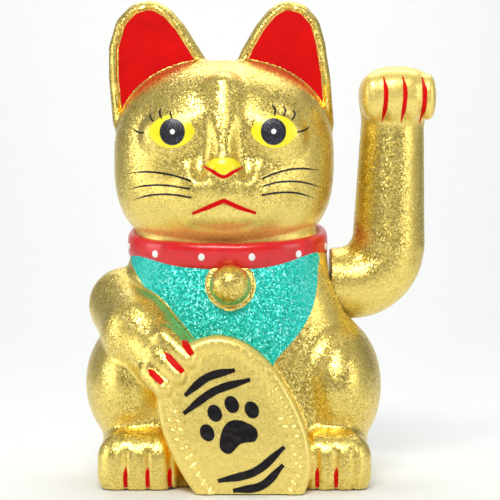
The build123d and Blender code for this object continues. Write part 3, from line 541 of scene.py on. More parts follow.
def cap(bm, rim, away):
    """Close the cut edges in a plane with triangles, inside an odd number of loops."""
    bm.verts.index_update()
    verts = sorted({v for e in rim for v in e.verts}, key=lambda v: v.index)
    number = {v: i for i, v in enumerate(verts)}
    u, v = (i for i in range(3) if not away[i])
    level = verts[0].co[3 - u - v]
    flat = [Vector((p.co[u], p.co[v])) for p in verts]
    edges = [(number[e.verts[0]], number[e.verts[1]]) for e in rim]
    made = delaunay_2d_cdt(flat, edges, [], 0, 1e-6)
    places = np.empty((len(made[0]), 3))
    places[:, (u, v)] = made[0]
    places[:, 3 - u - v] = level
    corners = [verts[old[0]] if old else bm.verts.new(place) for old, place in zip(made[3], places)]
    walls = {tuple(sorted(edge)) for edge, old in zip(made[1], made[4]) if old}
    rims = [[tuple(sorted(pair)) for pair in zip(face, face[1:] + face[:1])] for face in made[2]]
    beside = {}
    for i, edges in enumerate(rims):
        for edge in edges:
            beside.setdefault(edge, []).append(i)
    filled = {}
    ahead = [(found[0], edge in walls) for edge, found in beside.items() if len(found) == 1]
    while ahead:
        i, inside = ahead.pop()
        if i not in filled:
            filled[i] = inside
            ahead += [(j, inside != (edge in walls)) for edge in rims[i] for j in beside[edge]]
    for i, inside in filled.items():
        if inside:
            bm.faces.new([corners[j] for j in made[2][i]])


def cut(points, faces, planes, skin):
    """A bmesh of a surface cut by planes and closed there. The last plane's edge is a fine seam."""
    mesh = bpy.data.meshes.new("cut")
    mesh.from_pydata(points.tolist(), [], faces.tolist())
    bm = bmesh.new()
    bm.from_mesh(mesh)
    bpy.data.meshes.remove(mesh)
    for number, (place, away) in enumerate(planes):
        geometry = bm.verts[:] + bm.edges[:] + bm.faces[:]
        found = bmesh.ops.bisect_plane(
            bm, geom=geometry, dist=1e-4, plane_co=place, plane_no=away, clear_outer=True
        )["geom_cut"]
        rim = [e for e in found if isinstance(e, bmesh.types.BMEdge) and len(e.link_faces) == 1]
        if number == len(planes) - 1:
            verts = list({v for e in rim for v in e.verts})
            at = np.array([v.co for v in verts], float)
            value, grad = slope(skin, at, 0.3)
            grad -= np.outer(grad @ np.array(away), away)
            for v, near, way in zip(verts, value, grad):
                if abs(near) < 0.3:
                    v.co -= Vector(way).normalized() * SEAM
        cap(bm, rim, away)
    return bm


def add_piece(name, mesh, body, material, replaced=()):
    """Add a finished mesh as a piece that rides on a body, and may stand in for CAD nodes."""
    piece = bpy.data.objects.new(name, mesh)
    bpy.context.scene.collection.objects.link(piece)
    mesh.materials.append(material)
    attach(piece, body)
    if replaced:
        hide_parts(*replaced)


def finish_bmesh(bm, name, sharp=math.radians(48)):
    """A smooth-shaded mesh in metres, from a bmesh in millimetres."""
    bmesh.ops.recalc_face_normals(bm, faces=bm.faces)
    bmesh.ops.scale(bm, vec=(MM, MM, MM), verts=bm.verts)
    mesh = bpy.data.meshes.new(name)
    bm.to_mesh(mesh)
    bm.free()
    mesh.polygons.foreach_set("use_smooth", [True] * len(mesh.polygons))
    mesh.set_sharp_from_angle(angle=sharp)
    return mesh


# ---- paint: thin closed films that follow the surface ------------------------
def curve(points, closed=True, gap=0.7):
    """A smooth line through points (Catmull-Rom), in steps of about gap."""
    p = np.array(points, float)
    if closed:
        p = np.vstack([p[-1], p, p[0], p[1]])
    else:
        p = np.vstack([2 * p[0] - p[1], p, 2 * p[-1] - p[-2]])
    line = []
    for a, b, c, d in zip(p, p[1:], p[2:], p[3:]):
        count = max(int(np.linalg.norm(c - b) / gap), 2)
        t = np.arange(count)[:, None] / count
        bend, twist = 2 * a - 5 * b + 4 * c - d, 3 * b - a - 3 * c + d
        line.append(0.5 * (2 * b + (c - a) * t + bend * t**2 + twist * t**3))
    if not closed:
        line.append(p[-2][None])
    return np.vstack(line)


def stroke(points, width, ends):
    """The outline of a brush stroke along a smooth line; ends are the shares of its width there."""
    line = curve(points, closed=False, gap=0.6)
    way = np.gradient(line, axis=0)
    side = np.stack([-way[:, 1], way[:, 0]], 1) / np.linalg.norm(way, axis=1, keepdims=True)
    t = np.linspace(0.0, 1.0, len(line))
    start, end = ends
    share = np.minimum(start + (1 - start) * smooth(t, 0, 0.3), end + (1 - end) * smooth(1 - t, 0, 0.3))
    off = side * (width / 2 * share)[:, None]
    return np.vstack([line + off, (line - off)[::-1]])


def circle(count):
    """The cosines and sines of equal steps round a circle."""
    a = np.linspace(0, 2 * math.pi, count, endpoint=False)
    return np.cos(a), np.sin(a)


def disc(x, z, radius_x, radius_z, count=40):
    """An oval outline."""
    c, s = circle(count)
    return np.stack([x + radius_x * c, z + radius_z * s], 1)


def fill(outline, gap):
    """A flat triangle mesh inside an outline."""
    low, high = outline.min(0), outline.max(0)
    rows = np.arange(low[1], high[1], gap * 0.87)
    u, v = np.meshgrid(np.arange(low[0], high[0], gap), rows, indexing="ij")
    u = u + gap / 2 * (np.arange(u.shape[1]) % 2)
    inner = np.stack([u.ravel(), v.ravel()], 1)
    inner = inner[polygon(inner[:, 0], inner[:, 1], [tuple(c) for c in outline]) < -0.45 * gap]
    points = np.vstack([outline, inner])
    loop = list(range(len(outline)))
    rim = [(i, (i + 1) % len(loop)) for i in loop]
    result = delaunay_2d_cdt([Vector(p) for p in points], rim, [loop], 1, 1e-5)
    return np.array(result[0]), [tuple(f) for f in result[2]]


def in_front(field, u, v):
    """The points of a field's surface that lie behind flat points in front of the figure."""
    y = np.full(len(u), BODY_LOW[1])
    for _ in range(90):
        gap = field(u, y, v)
        y += np.clip(gap * 0.6, -0.5, 3.0)
        if np.abs(gap).max() < 0.004:
            break
    return np.stack([u, y, v], 1)


def film(bm, outline, field, lift, gap, sink, place):
    """Add one closed film to a bmesh, its outline laid on the surface by place, or from the front."""
    flat, faces = fill(np.asarray(outline, float), gap)
    surface = in_front(field, flat[:, 0], flat[:, 1]) if place is None else place(flat)
    away = normals(field, surface)
    top = [bm.verts.new(p) for p in surface + away * lift]
    low = [bm.verts.new(p) for p in surface - away * sink]
    used = set()
    for face in faces:
        a, b, c = (surface[i] for i in face)
        if np.dot(np.cross(b - a, c - a), away[list(face)].sum(0)) < 0:
            face = face[::-1]
        bm.faces.new([top[i] for i in face])
        bm.faces.new([low[i] for i in face[::-1]])
        used.update(zip(face, face[1:] + face[:1]))
    for i, j in sorted(used):
        if (j, i) not in used:
            bm.faces.new([top[j], top[i], low[i], low[j]])


def paint(name, outlines, field, lift, material, body="figure", gap=1.1, place=None, sink=0.25):
    """Add a piece made of one film for each outline."""
    bm = bmesh.new()
    for outline in outlines:
        film(bm, outline, field, lift, gap, sink, place)
    add_piece(name, finish_bmesh(bm, name, math.radians(60)), body, material)


# ---- materials ---------------------------------------------------------------
def feed(tree, socket, value):
    """Link a socket to an input, or give the input a value or a colour."""
    if isinstance(value, bpy.types.NodeSocket):
        tree.links.new(value, socket)
    else:
        socket.default_value = (*value, 1.0) if socket.type == "RGBA" else value


def set_inputs(tree, n, **values):
    """Feed a node's inputs, named with _ for each space."""
    for key, value in values.items():
        feed(tree, n.inputs[key.replace("_", " ")], value)


def node(tree, kind, **values):
    """A new node with its attributes (lower case) and inputs (capitalised) set."""
    n = tree.nodes.new(kind)
    for key, value in values.items():
        if key[0].islower():
            setattr(n, key, value)
    set_inputs(tree, n, **{key: value for key, value in values.items() if key[0].isupper()})
    return n


def new_material(name, **values):
    """A material, its node tree, its shader with some values set, and the object's coordinates."""
    material = bpy.data.materials.new(name)
    material.use_nodes = True
    tree = material.node_tree
    shader = tree.nodes["Principled BSDF"]
    set_inputs(tree, shader, **values)
    return material, tree, shader, node(tree, "ShaderNodeTexCoord").outputs["Object"]


def maths(tree, operation, a, b, kind="ShaderNodeMath"):
    """A maths node's result."""
    n = node(tree, kind, operation=operation)
    feed(tree, n.inputs[0], a)
    feed(tree, n.inputs[1], b)
    return n.outputs[0]


def between(tree, value, low, high, from_low=0.0, from_high=1.0):
    """A value moved from one range to another."""
    ends = {"From_Min": from_low, "From_Max": from_high, "To_Min": low, "To_Max": high}
    return node(tree, "ShaderNodeMapRange", Value=value, **ends).outputs[0]


def noise(tree, where, scale, detail, roughness=0.5):
    """Soft noise about 0.5."""
    n = node(tree, "ShaderNodeTexNoise", Vector=where, Scale=scale, Detail=detail, Roughness=roughness)
    return n.outputs["Fac"]


def ramp(tree, value, stops):
    """A colour ramp over a value, from (place, colour) stops."""
    n = node(tree, "ShaderNodeValToRGB", Fac=value)
    elements = n.color_ramp.elements
    while len(elements) < len(stops):
        elements.new(0.5)
    for element, (place, colour) in zip(elements, stops):
        element.position = place
        element.color = (*colour, 1.0)
    return n.outputs[0]


def mixed(tree, factor, a, b):
    """A mix of two colours."""
    n = node(tree, "ShaderNodeMix", data_type="RGBA")
    for place, value in ((0, factor), (6, a), (7, b)):
        feed(tree, n.inputs[place], value)
    return n.outputs[2]


def raised(tree, height, strength, distance):
    """A normal from a height."""
    return node(tree, "ShaderNodeBump", Height=height, Strength=strength, Distance=distance).outputs[0]


def glitter(tree, where, size, tilt):
    """Flakes: a random colour for each, and a normal tilted at random."""
    vector = "ShaderNodeVectorMath"
    cells = node(tree, "ShaderNodeTexVoronoi", Scale=1.0 / size, Randomness=1.0, Vector=where)
    colour = cells.outputs["Color"]
    centred = maths(tree, "SUBTRACT", colour, (0.5, 0.5, 0.5), vector)
    scaled = node(tree, vector, operation="SCALE", Vector=centred, Scale=tilt).outputs[0]
    straight = node(tree, "ShaderNodeNewGeometry").outputs["Normal"]
    tilted = maths(tree, "ADD", straight, scaled, vector)
    return colour, node(tree, vector, operation="NORMALIZE", Vector=tilted).outputs[0]


def gold():
    """Gold lacquer with fine metal flakes, from each surface's stored grain and painted crease shade (an
    orange tint in its hollows).
    """
    material, tree, shader, where = new_material(
        "gold_flake", Metallic=1.0, Coat_Weight=0.12, Coat_Roughness=0.12
    )
    grain = node(tree, "ShaderNodeAttribute", attribute_name="grain").outputs["Fac"]
    # the second attribute is painted shade: an orange tint, strongest in creases and hollows
    warm = node(tree, "ShaderNodeAttribute", attribute_name="warm").outputs["Fac"]
    strength = maths(tree, "MULTIPLY", grain, noise(tree, where, 55.0, 3.0, 0.6))
    colour, normal = glitter(tree, where, 0.0005, maths(tree, "MULTIPLY", strength, 0.54))
    split = node(tree, "ShaderNodeSeparateColor", Color=colour)
    flakes = ramp(tree, split.outputs[0], [
        (0.0, (0.14, 0.07, 0.005)), (0.3, (0.50, 0.34, 0.05)),
        (0.65, (0.85, 0.66, 0.13)), (1.0, (1.0, 0.88, 0.42)),
    ])
    plain = mixed(tree, strength, (0.90, 0.71, 0.18), flakes)
    # painted shade: the base colour turns orange in creases and hollows
    set_inputs(
        tree, shader,
        Base_Color=mixed(tree, maths(tree, "POWER", warm, 2.2), plain, (0.90, 0.52, 0.03)),
        Roughness=between(tree, split.outputs[1], 0.26, 0.46),
        Metallic=between(tree, grain, 0.35, 1.0, 0.2, 0.95),
        Normal=normal,
    )
    return material


def enamel(name, deep, light, roughness, size=0.012, bump=0.05, coat=0.3, gloss=0.5):
    """Brushed enamel paint: slight variation of colour and a fine unevenness."""
    material, tree, shader, where = new_material(
        name, Coat_Weight=coat, Coat_Roughness=0.08, Specular_IOR_Level=gloss
    )
    cloud, fine = noise(tree, where, 1.0 / size, 4.0, 0.6), noise(tree, where, 900.0, 3.0)
    set_inputs(
        tree, shader,
        Base_Color=ramp(tree, cloud, [(0.3, deep), (0.7, light)]),
        Roughness=between(tree, fine, roughness - 0.06, roughness + 0.08),
        Normal=raised(tree, fine, bump, 0.0006),
    )
    return material


def glitter_paint(name, stops, base, metal, size, tilt, share):
    """Coloured paint with a share of glitter in it."""
    material, tree, shader, where = new_material(
        name, Metallic=metal, Coat_Weight=0.15, Coat_Roughness=0.15
    )
    colour, normal = glitter(tree, where, size, tilt)
    split = node(tree, "ShaderNodeSeparateColor", Color=colour)
    amount = between(tree, noise(tree, where, 160.0, 3.0), share - 0.25, share + 0.2, 0.3, 0.7)
    set_inputs(
        tree, shader,
        Base_Color=mixed(tree, amount, base, ramp(tree, split.outputs[2], stops)),
        Roughness=between(tree, split.outputs[1], 0.3, 0.55),
        Normal=normal,
    )
    return material


def moulded(name, colour, roughness, grain=700.0, bump=0.12, metallic=0.0, spread=0.82):
    """Moulded plastic or bare metal: fine grain, and colour and gloss that vary a little."""
    material, tree, shader, where = new_material(name, Metallic=metallic)
    cloud, fine = noise(tree, where, 60.0, 5.0, 0.6), noise(tree, where, grain, 3.0)
    set_inputs(
        tree, shader,
        Base_Color=ramp(tree, cloud, [(0.3, tuple(c * spread for c in colour)), (0.7, colour)]),
        Roughness=between(tree, cloud, roughness - 0.08, roughness + 0.1),
        Normal=raised(tree, fine, bump, 0.0004),
    )
    return material


GOLD = gold()
RED = enamel("red_enamel", (0.56, 0.001, 0.001), (0.70, 0.002, 0.002), 0.42, coat=0.0, gloss=0.1)
COLLAR_RED = enamel("collar_red", (0.56, 0.003, 0.006), (0.76, 0.010, 0.014), 0.30, size=0.006, bump=0.1)
YELLOW = enamel("yellow_enamel", (0.86, 0.74, 0.005), (0.95, 0.86, 0.02), 0.35)
BLACK = enamel("black_enamel", (0.002, 0.001, 0.002), (0.008, 0.004, 0.006), 0.34, coat=0.1, gloss=0.3)
WHITE = enamel("white_enamel", (0.80, 0.78, 0.76), (0.90, 0.89, 0.87), 0.35)
PUPIL = glitter_paint(
    "pupil_glitter",
    [(0.0, (0.003, 0.002, 0.006)), (0.8, (0.010, 0.009, 0.03)), (1.0, (0.25, 0.24, 0.38))],
    base=(0.002, 0.001, 0.004), metal=0.0, size=0.0004, tilt=0.12, share=0.4,
)
TURQUOISE = glitter_paint(
    "turquoise_glitter",
    [
        (0.0, (0.0, 0.20, 0.15)), (0.45, (0.0, 0.52, 0.42)),
        (0.8, (0.04, 0.78, 0.68)), (1.0, (0.50, 0.98, 0.93)),
    ],
    base=(0.0, 0.56, 0.45), metal=0.35, size=0.00052, tilt=0.55, share=0.55,
)

METAL = {"metallic": 1.0}
SLOT_LOOKS = {  # the other materials that CAD names: colour, roughness, anything more
    "base_plastic": ((0.030, 0.030, 0.032), 0.42, {}),
    "drive_plastic": ((0.74, 0.73, 0.69), 0.45, {}),
    "bobbin_plastic": ((0.055, 0.055, 0.06), 0.4, {}),
    "switch_metal": ((0.60, 0.60, 0.58), 0.35, METAL),
    "screw_steel": ((0.56, 0.56, 0.57), 0.3, METAL),
    "shaft_steel": ((0.62, 0.62, 0.63), 0.22, {"bump": 0.05, **METAL}),
    "bush_brass": ((0.72, 0.52, 0.2), 0.3, METAL),
    "weight_steel": ((0.30, 0.30, 0.31), 0.45, METAL),
    "magnet_grey": ((0.10, 0.10, 0.11), 0.5, {"metallic": 0.6}),
    "copper_wire": ((0.78, 0.34, 0.16), 0.3, {"grain": 2500.0, "bump": 0.4, **METAL}),
    "contact_metal": ((0.72, 0.71, 0.68), 0.28, METAL),
    "cell_sleeve": ((0.16, 0.24, 0.20), 0.25, {}),
    "board_green": ((0.55, 0.38, 0.18), 0.35, {}),
    "component_black": ((0.02, 0.02, 0.022), 0.4, {}),
    "capacitor_sleeve": ((0.03, 0.04, 0.14), 0.3, {}),
    "resistor_body": ((0.62, 0.48, 0.28), 0.4, {}),
    "lead_red": ((0.55, 0.02, 0.02), 0.4, {}),
    "lead_yellow": ((0.75, 0.58, 0.03), 0.4, {}),
    "lead_black": ((0.02, 0.02, 0.02), 0.4, {}),
}


# ---- the gold shells ---------------------------------------------------------
def painted_crease_shade(p, skin):
    """Painted crease shade: how far into a hollow each point lies, from 0 to 1, but little on the chin
    and round the bell; the gold is tinted orange by it.
    """
    off = p + normals(skin, p) * HOLLOW_REACH
    hollow = np.clip(1.0 - skin(*off.T) / HOLLOW_REACH, 0.0, 1.0)
    x, y, z = p.T
    chin = smooth(-y, 18.0, 30.0) * smooth(z, 98.0, 101.0) * (1 - smooth(z, 112.0, 118.0))
    from_bell = np.hypot(x - BELL_CENTRE[0], z - BELL_CENTRE[2])
    return hollow * smooth(from_bell, 10.5, 13.0) * (1.0 - 0.75 * chin)


def body_grain(x, y, z):
    """How grainy the gold is: smoother on the chin, the coin and near the table."""
    chin = (1 - smooth(z, 106.0, 118.0)) * smooth(z, 92.0, 97.0)
    low = 1 - smooth(z, 6.0, 26.0)
    past_coin = oval(*coin_place(x, y, z)[:2], *COIN_HALF, COIN_POWER)
    on_coin = (1 - smooth(past_coin, -1.0, 2.0)) * smooth(-y, 42.0, 48.0)
    return np.clip(1.0 - 0.6 * chin - 0.35 * low - 0.6 * on_coin, 0.1, 1.0)


def arm_grain(x, y, z):
    """How grainy the raised arm is: smoother on the paw and under the elbow."""
    return np.clip(1.0 - 0.6 * smooth(z, 140.0, 152.0) - 0.4 * (1 - smooth(z, 72.0, 92.0)), 0.1, 1.0)


def gold_half(node_name, surface, planes, skin, grain, body):
    """One half of a gold shell, which stands in for its CAD node."""
    mesh = finish_bmesh(cut(*surface, planes, skin), node_name + "_gold")
    co = np.empty(len(mesh.vertices) * 3)
    mesh.vertices.foreach_get("co", co)
    p = co.reshape(-1, 3) / MM
    # painted shade for the gold: an orange tint in the surface's hollows
    mesh.attributes.new("warm", "FLOAT", "POINT").data.foreach_set("value", painted_crease_shade(p, skin))
    mesh.attributes.new("grain", "FLOAT", "POINT").data.foreach_set("value", grain(*p.T))
    add_piece(node_name + "_gold", mesh, body, GOLD, [node_name])


# planes: a point and the side that is cut away
HALVES = {"front": ((0, 0, 0), (0, 1, 0)), "back": ((0, 0, 0), (0, -1, 0))}
RIM = ((0, 0, SHELL_BOTTOM), (0, 0, -1))
body_surface = skinned(body_shell, BODY_LOW, BODY_HIGH)
for side, half in HALVES.items():
    gold_half(side + "_shell", body_surface, [RIM, half], body_skin, body_grain, "figure")
arm_surface = skinned(arm_shell, ARM_LOW, ARM_HIGH)
for side, half in HALVES.items():
    gold_half("arm_" + side, arm_surface, [half], arm_skin, arm_grain, "raised_arm")


# ---- the painted face --------------------------------------------------------
def almond(x, z, half_x, half_z):
    """An eye's outline with softly pointed corners."""
    c, s = circle(60)
    return np.stack([x + half_x * c, z + half_z * s * np.abs(s) ** 0.25], 1)


# a film with more lift lies over one with less
EYES = {"left": (-24.2, 141.8), "right": (16.0, 141.9)}
EYE_HALF, PUPIL_RADII, GLINT_RADII = (9.2, 6.6), (5.0, 5.3), (1.0, 1.05)
for side, (x, z) in EYES.items():
    out = -1 if side == "left" else 1
    eye = almond(x + out * 0.3, z + 0.3, *EYE_HALF)
    pupil = disc(x, z + 0.1, *PUPIL_RADII)
    glint = disc(x + 0.1, z + 0.1, *GLINT_RADII, count=24)
    paint(f"eye_{side}", [eye], body_skin, 0.16, YELLOW)
    paint(f"pupil_{side}", [pupil], body_skin, 0.30, PUPIL, gap=0.8)
    paint(f"glint_{side}", [glint], body_skin, 0.42, WHITE, gap=0.5)

NOSE = [
    (-10.6, 128.9), (-7.4, 130.9), (-3.8, 131.3), (0.0, 130.8),
    (2.9, 128.5), (-0.4, 126.4), (-3.8, 124.6), (-7.4, 126.5),
]
NOSE_LINE = [(-12.0, 128.4), (-8.0, 125.9), (-3.8, 123.7), (0.4, 125.8), (3.9, 127.9)]
MOUTH = [
    (-16.2, 109.3), (-10.0, 111.7), (-4.6, 114.0), (-3.7, 114.2),
    (-2.8, 114.0), (2.6, 111.6), (9.0, 109.6),
]
paint("nose", [curve(NOSE)], body_skin, 0.18, YELLOW, gap=0.8)
paint("nose_line", [stroke(NOSE_LINE, 1.3, (0.4, 0.4))], body_skin, 0.24, RED, gap=0.7)
paint("mouth", [stroke(MOUTH, 1.75, (0.6, 0.6))], body_skin, 0.22, RED, gap=0.7)
WHISKERS = {
    "left": [
        [(-43.3, 126.0), (-34.7, 126.3), (-25.1, 124.9), (-16.5, 122.1)],
        [(-42.6, 119.6), (-34.8, 120.8), (-26.3, 120.6), (-17.1, 119.0)],
        [(-40.8, 115.3), (-33.5, 116.9), (-25.0, 117.0), (-16.5, 115.6)],
    ],
    "right": [
        [(35.4, 127.4), (26.2, 127.6), (18.6, 126.1), (11.5, 123.2)],
        [(35.6, 120.6), (26.8, 122.3), (18.5, 122.0), (12.0, 120.2)],
        [(32.8, 116.0), (25.6, 117.8), (18.5, 117.8), (11.3, 116.6)],
    ],
}
LASHES = {
    "left": [
        [(-33.3, 149.7), (-33.2, 148.1), (-32.0, 146.2)],
        [(-28.9, 151.9), (-29.5, 149.7), (-28.4, 147.3)],
        [(-24.9, 150.6), (-25.0, 148.9), (-24.3, 147.2)],
        [(-40.4, 143.9), (-38.7, 142.6), (-36.0, 141.8)],
    ],
    "right": [
        [(15.5, 153.0), (16.8, 150.9), (16.4, 148.2)],
        [(20.0, 152.8), (21.0, 150.8), (20.1, 148.3)],
        [(24.2, 151.5), (24.7, 149.3), (23.5, 146.9)],
        [(30.6, 144.8), (28.8, 143.1), (25.6, 141.9)],
    ],
}
for side in EYES:
    for kind, hairs, width, lift in (("whiskers", WHISKERS, 0.78, 0.18), ("lashes", LASHES, 0.7, 0.20)):
        outlines = [stroke(line, width, (0.2, 0.9)) for line in hairs[side]]
        paint(f"{kind}_{side}", outlines, body_skin, lift, BLACK, gap=0.6)


# ---- ears, bib, claws --------------------------------------------------------
def head_top(x, y):
    """The height of the head's top at places x, all at depth y."""
    low, high = np.full(len(x), HEAD_CENTRE[2]), np.full(len(x), HEAD_CENTRE[2] + 1.25 * HEAD_RADII[2])
    for _ in range(30):
        middle = (low + high) / 2
        inside = head(x, np.full(len(x), y), middle) < 0.2
        low, high = np.where(inside, middle, low), np.where(inside, high, middle)
    return low


def ear_lining(right):
    """The red region of an ear: the floor of its hollow, down to where it meets the head."""
    corners = np.array(EAR_CORNERS)
    turn = np.linspace(-0.75 * math.pi, -2.75 * math.pi, 241)[:-1]
    ways = np.stack([np.cos(turn), np.sin(turn)], 1)
    arcs = corners[(ways @ corners.T).argmax(1)] + ways * (EAR_ROUND - EAR_RIM - LINING_GAP)
    ring = []
    for a, b in zip(arcs, np.roll(arcs, -1, axis=0)):
        count = max(int(np.linalg.norm(b - a) / 0.7), 1)
        ring += [a + (b - a) * i / count for i in range(count)]
    ring = np.array(ring)
    if right:
        lean = RIGHT_LEAN * np.maximum(LEAN_BELOW_Z - ring[:, 1], 0.0)
        ring[:, 0] = RIGHT_EDGE_X + (LEFT_EDGE_X - ring[:, 0] + lean) * RIGHT_NARROWER
    floor_y = EAR_FRONT_Y + EAR_HOLLOW
    keep = head(ring[:, 0], np.full(len(ring), floor_y), ring[:, 1]) > 0.3
    start = int(np.flatnonzero(keep & ~np.roll(keep, 1))[0])
    ring = np.roll(ring, -start, axis=0)[: int(keep.sum())]
    along = np.linspace(ring[-1, 0], ring[0, 0], 40)[1:-1]
    return np.vstack([ring, np.stack([along, head_top(along, floor_y)], 1)])


for side, right in (("left", False), ("right", True)):
    paint(f"ear_lining_{side}", [ear_lining(right)], ears, 0.14, RED, gap=1.6)

BIB = [
    (-42.2, 94.0), (-38.6, 83.5), (-30.0, 73.0), (-20.0, 60.5), (-8.0, 54.0), (4.0, 49.0), (13.5, 45.0),
    (17.0, 50.8), (20.9, 55.2), (25.2, 60.0), (28.9, 65.2), (31.6, 70.6), (33.0, 75.6), (33.9, 81.0),
    (34.2, 86.5), (34.0, 94.0), (20.0, 96.0), (-4.0, 95.0), (-26.0, 96.0),
]
paint("bib", [curve(BIB, gap=1.2)], torso, 0.30, TURQUOISE, gap=1.6, sink=0.5)


def claws(name, lines, width, ends, field=body_skin, body="figure"):
    """A piece of red claw lines."""
    outlines = [stroke(line, width, ends) for line in lines]
    paint(name, outlines, field, 0.2, RED, body, gap=0.8)


HOLDING_CLAWS = [
    [(-19.8, 59.6), (-17.9, 57.2), (-15.8, 54.2)],
    [(-26.9, 55.4), (-23.6, 51.8), (-19.3, 47.6)],
    [(-33.0, 48.5), (-30.2, 46.0), (-27.2, 43.3)],
]
claws("holding_claws", HOLDING_CLAWS, 2.5, (0.12, 0.75))
for side, grooves in (("left", TOE_GROOVES[:3]), ("right", TOE_GROOVES[3:5])):
    lines = [[(x + 0.1, 9.4), (x - 0.1, 5.4), (x, 1.3)] for x in grooves]
    claws(f"foot_claws_{side}", lines, 1.6, (0.15, 0.9))
lines = [[(x, 166.2), (x + 0.9, 160.5), (x + 0.7, 154.0), (x - 0.2, 147.9)] for x in PAW_GROOVES]
claws("raised_claws", lines, 1.8, (0.3, 0.2), arm_skin, "raised_arm")


# ---- the coin's motif: a paw print between curved bars -----------------------
def on_coin(flat):
    """Points of the coin's face from its own across and up measures."""
    centre, across, up, out = COIN_AXES
    p = centre + flat[:, :1] * across + flat[:, 1:] * up
    for _ in range(12):
        p = p - coin(*p.T)[:, None] * 0.8 * out
    return p


def paw_print(u, v, size):
    """A pad and four toes."""
    right = [(4.4, -5.4), (6.2, -2.4), (3.4, 1.8)]
    pad = [(0, -4.2), *right, (0, 3.4), *((-x, z) for x, z in right[::-1])]
    shapes = [curve([(u + x * size, v + z * size) for x, z in pad])]
    for x, z in ((-7.6, 3.4), (-2.9, 7.6), (2.9, 7.6), (7.6, 3.4)):
        shapes.append(disc(u + x * size, v + z * size, 2.1 * size, 2.7 * size, count=28))
    return shapes


BARS = ((17.4, 14.5), (23.4, 10.9))  # height, half length
motif = paw_print(0.0, -0.5, 1.28)
for rise, half_length in BARS:
    for way in (1, -1):
        end_v = way * (rise - 2.8)
        bar = [(-half_length, end_v), (0, way * rise - 0.5), (half_length, end_v)]
        motif.append(stroke(bar, 3.2, (0.5, 0.5)))
paint("coin_motif", motif, coin, 0.22, BLACK, gap=0.9, place=on_coin)


# ---- collar ------------------------------------------------------------------
def collar_point(angle, rise, out=0.0):
    """A point on the collar: round it by an angle, up by a height, out from its surface."""
    c, s = np.cos(angle), np.sin(angle)
    reach = 1.0 / gauge(c, s, *COLLAR_HALF, COLLAR_POWER) + out
    x, y = reach * c, reach * s
    level, steep = math.cos(COLLAR_DIP), math.sin(COLLAR_DIP)
    return np.array(COLLAR_CENTRE) + np.stack([x, y * level - rise * steep, y * steep + rise * level], -1)


def collar_band():
    """The collar, a soft closed band."""
    bm = bmesh.new()
    around = np.linspace(0, 2 * math.pi, 220, endpoint=False)
    c, s = circle(26)
    out = COLLAR_THICK * (np.sign(c) * np.abs(c) ** 0.8 - 1.0)
    rise = COLLAR_HALF_HEIGHT * np.sign(s) * np.abs(s) ** 0.62
    rows = []
    for a in around:
        uneven = 1.04 + 0.02 * math.sin(5 * a) + 0.015 * math.sin(11 * a + 1)
        uneven += 0.12 * max(math.cos(a), 0.0) ** 2
        rows.append([bm.verts.new(p) for p in collar_point(np.full(len(out), a), rise * uneven, out)])
    for row, following in zip(rows, rows[1:] + rows[:1]):
        for i in range(len(row)):
            j = (i + 1) % len(row)
            bm.faces.new([row[i], following[i], following[j], row[j]])
    return bm


def collar_dots():
    """White dots at equal steps round the collar, each a low dome."""
    fine = np.linspace(-math.pi / 2, 1.5 * math.pi, 2001)
    p = collar_point(fine, np.zeros(len(fine)))
    length = np.concatenate([[0], np.cumsum(np.linalg.norm(np.diff(p, axis=0), axis=1))])
    c, s = circle(DOT_SIDES)
    bm = bmesh.new()
    for k in range(DOT_COUNT):
        angle = np.interp((k + 0.5) / DOT_COUNT * length[-1], length, fine)
        radius = np.interp(angle, fine[1:], np.diff(length) / np.diff(fine))
        rings = []
        for share, out in ((1.0, -0.6), (1.0, 0.1), (0.92, 0.32), (0.6, 0.42)):
            turned = angle + DOT_HALF_WIDTH * share * c / radius
            spots = collar_point(turned, 0.2 + DOT_HALF_HEIGHT * share * s, out)
            rings.append([bm.verts.new(q) for q in spots])
        top = bm.verts.new(collar_point(angle, 0.2, 0.46))
        bm.faces.new(rings[0][::-1])
        for i in range(DOT_SIDES):
            j = (i + 1) % DOT_SIDES
            for low, high in zip(rings, rings[1:]):
                bm.faces.new([low[i], low[j], high[j], high[i]])
            bm.faces.new([rings[-1][i], rings[-1][j], top])
    return bm


add_piece("collar", finish_bmesh(collar_band(), "collar"), "figure", COLLAR_RED)
add_piece("collar_dots", finish_bmesh(collar_dots(), "collar_dots"), "figure", WHITE)


# ---- materials of the CAD parts ----------------------------------------------
SLOT_MATERIALS = {"gold_plastic": GOLD}
for name, (colour, roughness, more) in SLOT_LOOKS.items():
    SLOT_MATERIALS[name] = moulded(name, colour, roughness, **more)
for part in frame["nodes"].values():
    for slot in part.material_slots:
        slot.material = SLOT_MATERIALS[slot.material.name.split(".")[0]]


# ---- camera, floor and light, in metres --------------------------------------
WALL_Y, WALL_TOP, WALL_CURVE, STAGE_HALF, FLOOR_FRONT_Y = 1.6, 4.0, 0.6, 6.0, -6.0
FLOOR_Z = -0.0001  # a hair below the figure, so the two never share a plane
CAMERA_PLACE, LENS_MM = (0.0067, -0.620, 0.0949), 105.3


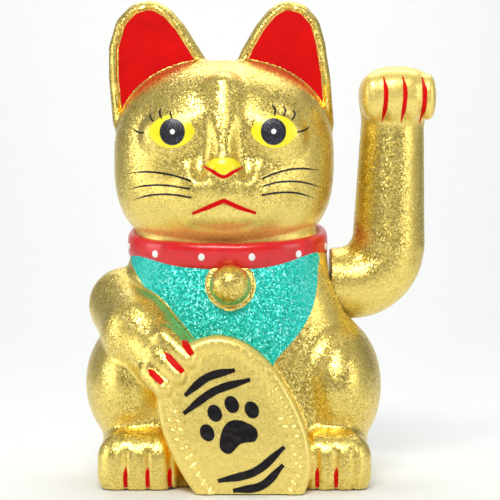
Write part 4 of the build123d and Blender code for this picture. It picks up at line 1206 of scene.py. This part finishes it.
def stage_mesh():
    """A pale floor that turns up into a wall far behind the figure."""
    profile = [(FLOOR_FRONT_Y, FLOOR_Z), (WALL_Y - WALL_CURVE, FLOOR_Z)]
    for i in range(1, 13):
        a = math.pi / 2 * i / 12
        profile.append((WALL_Y - WALL_CURVE * (1 - math.sin(a)), WALL_CURVE * (1 - math.cos(a))))
    profile.append((WALL_Y, WALL_TOP))
    bm = bmesh.new()
    rows = [[bm.verts.new((x, y, z)) for x in (-STAGE_HALF, STAGE_HALF)] for y, z in profile]
    for low, high in zip(rows, rows[1:]):
        bm.faces.new([low[0], low[1], high[1], high[0]])
    mesh = bpy.data.meshes.new("backdrop")
    bm.to_mesh(mesh)
    bm.free()
    mesh.polygons.foreach_set("use_smooth", [True] * len(mesh.polygons))
    mesh.materials.append(moulded("pale_backdrop", (0.87, 0.88, 0.87), 0.6, bump=0.02, spread=0.985))
    return mesh


def lamp(name, place, target, size, power):
    """A soft rectangular light."""
    data = bpy.data.lights.new(name, "AREA")
    data.shape = "RECTANGLE"
    data.size, data.size_y = size
    data.energy = power
    light = bpy.data.objects.new(name, data)
    scene.collection.objects.link(light)
    light.location = place
    light.rotation_euler = (Vector(target) - Vector(place)).to_track_quat("-Z", "Y").to_euler()


scene = bpy.context.scene
backdrop = bpy.data.objects.new("backdrop", stage_mesh())
scene.collection.objects.link(backdrop)

camera = bpy.data.objects.new("camera", bpy.data.cameras.new("camera"))
scene.collection.objects.link(camera)
camera.data.sensor_width = 36.0
camera.data.lens = LENS_MM
camera.data.clip_start = 0.05
camera.location = CAMERA_PLACE
camera.rotation_euler = (math.pi / 2, 0.0, 0.0)
scene.camera = camera
scene.view_settings.view_transform = "Standard"

# place, what it points at, width and height, watts
lamp("key", (-0.08, -0.78, 0.78), (0.0, 0.0, 0.11), (0.42, 0.26), 6.5)
lamp("fill_right", (0.85, -0.55, 0.35), (0.0, 0.0, 0.09), (0.4, 0.6), 2.0)
lamp("fill_left", (-0.95, -0.30, 0.30), (0.0, 0.0, 0.09), (0.4, 0.6), 2.4)
lamp("back", (0.1, 0.30, 0.95), (0.0, 0.0, 0.12), (0.8, 0.4), 3.0)
lamp("wall_wash", (0.0, 0.95, 1.15), (0.0, 1.6, 0.15), (1.6, 0.4), 9.0)

# a room that is dim behind the camera and bright behind the figure
world = bpy.data.worlds.new("studio")
scene.world = world
world.use_nodes = True
tree = world.node_tree
way = node(tree, "ShaderNodeSeparateXYZ", Vector=node(tree, "ShaderNodeTexCoord").outputs["Generated"])
ROOM = [
    (0.0, (0.16, 0.15, 0.14)), (0.45, (0.30, 0.30, 0.30)),
    (0.7, (0.75, 0.77, 0.80)), (1.0, (0.85, 0.88, 0.92)),
]
room = ramp(tree, between(tree, way.outputs["Y"], 0.0, 1.0, -1.0, 0.5), ROOM)
set_inputs(tree, tree.nodes["Background"], Color=room, Strength=0.8)
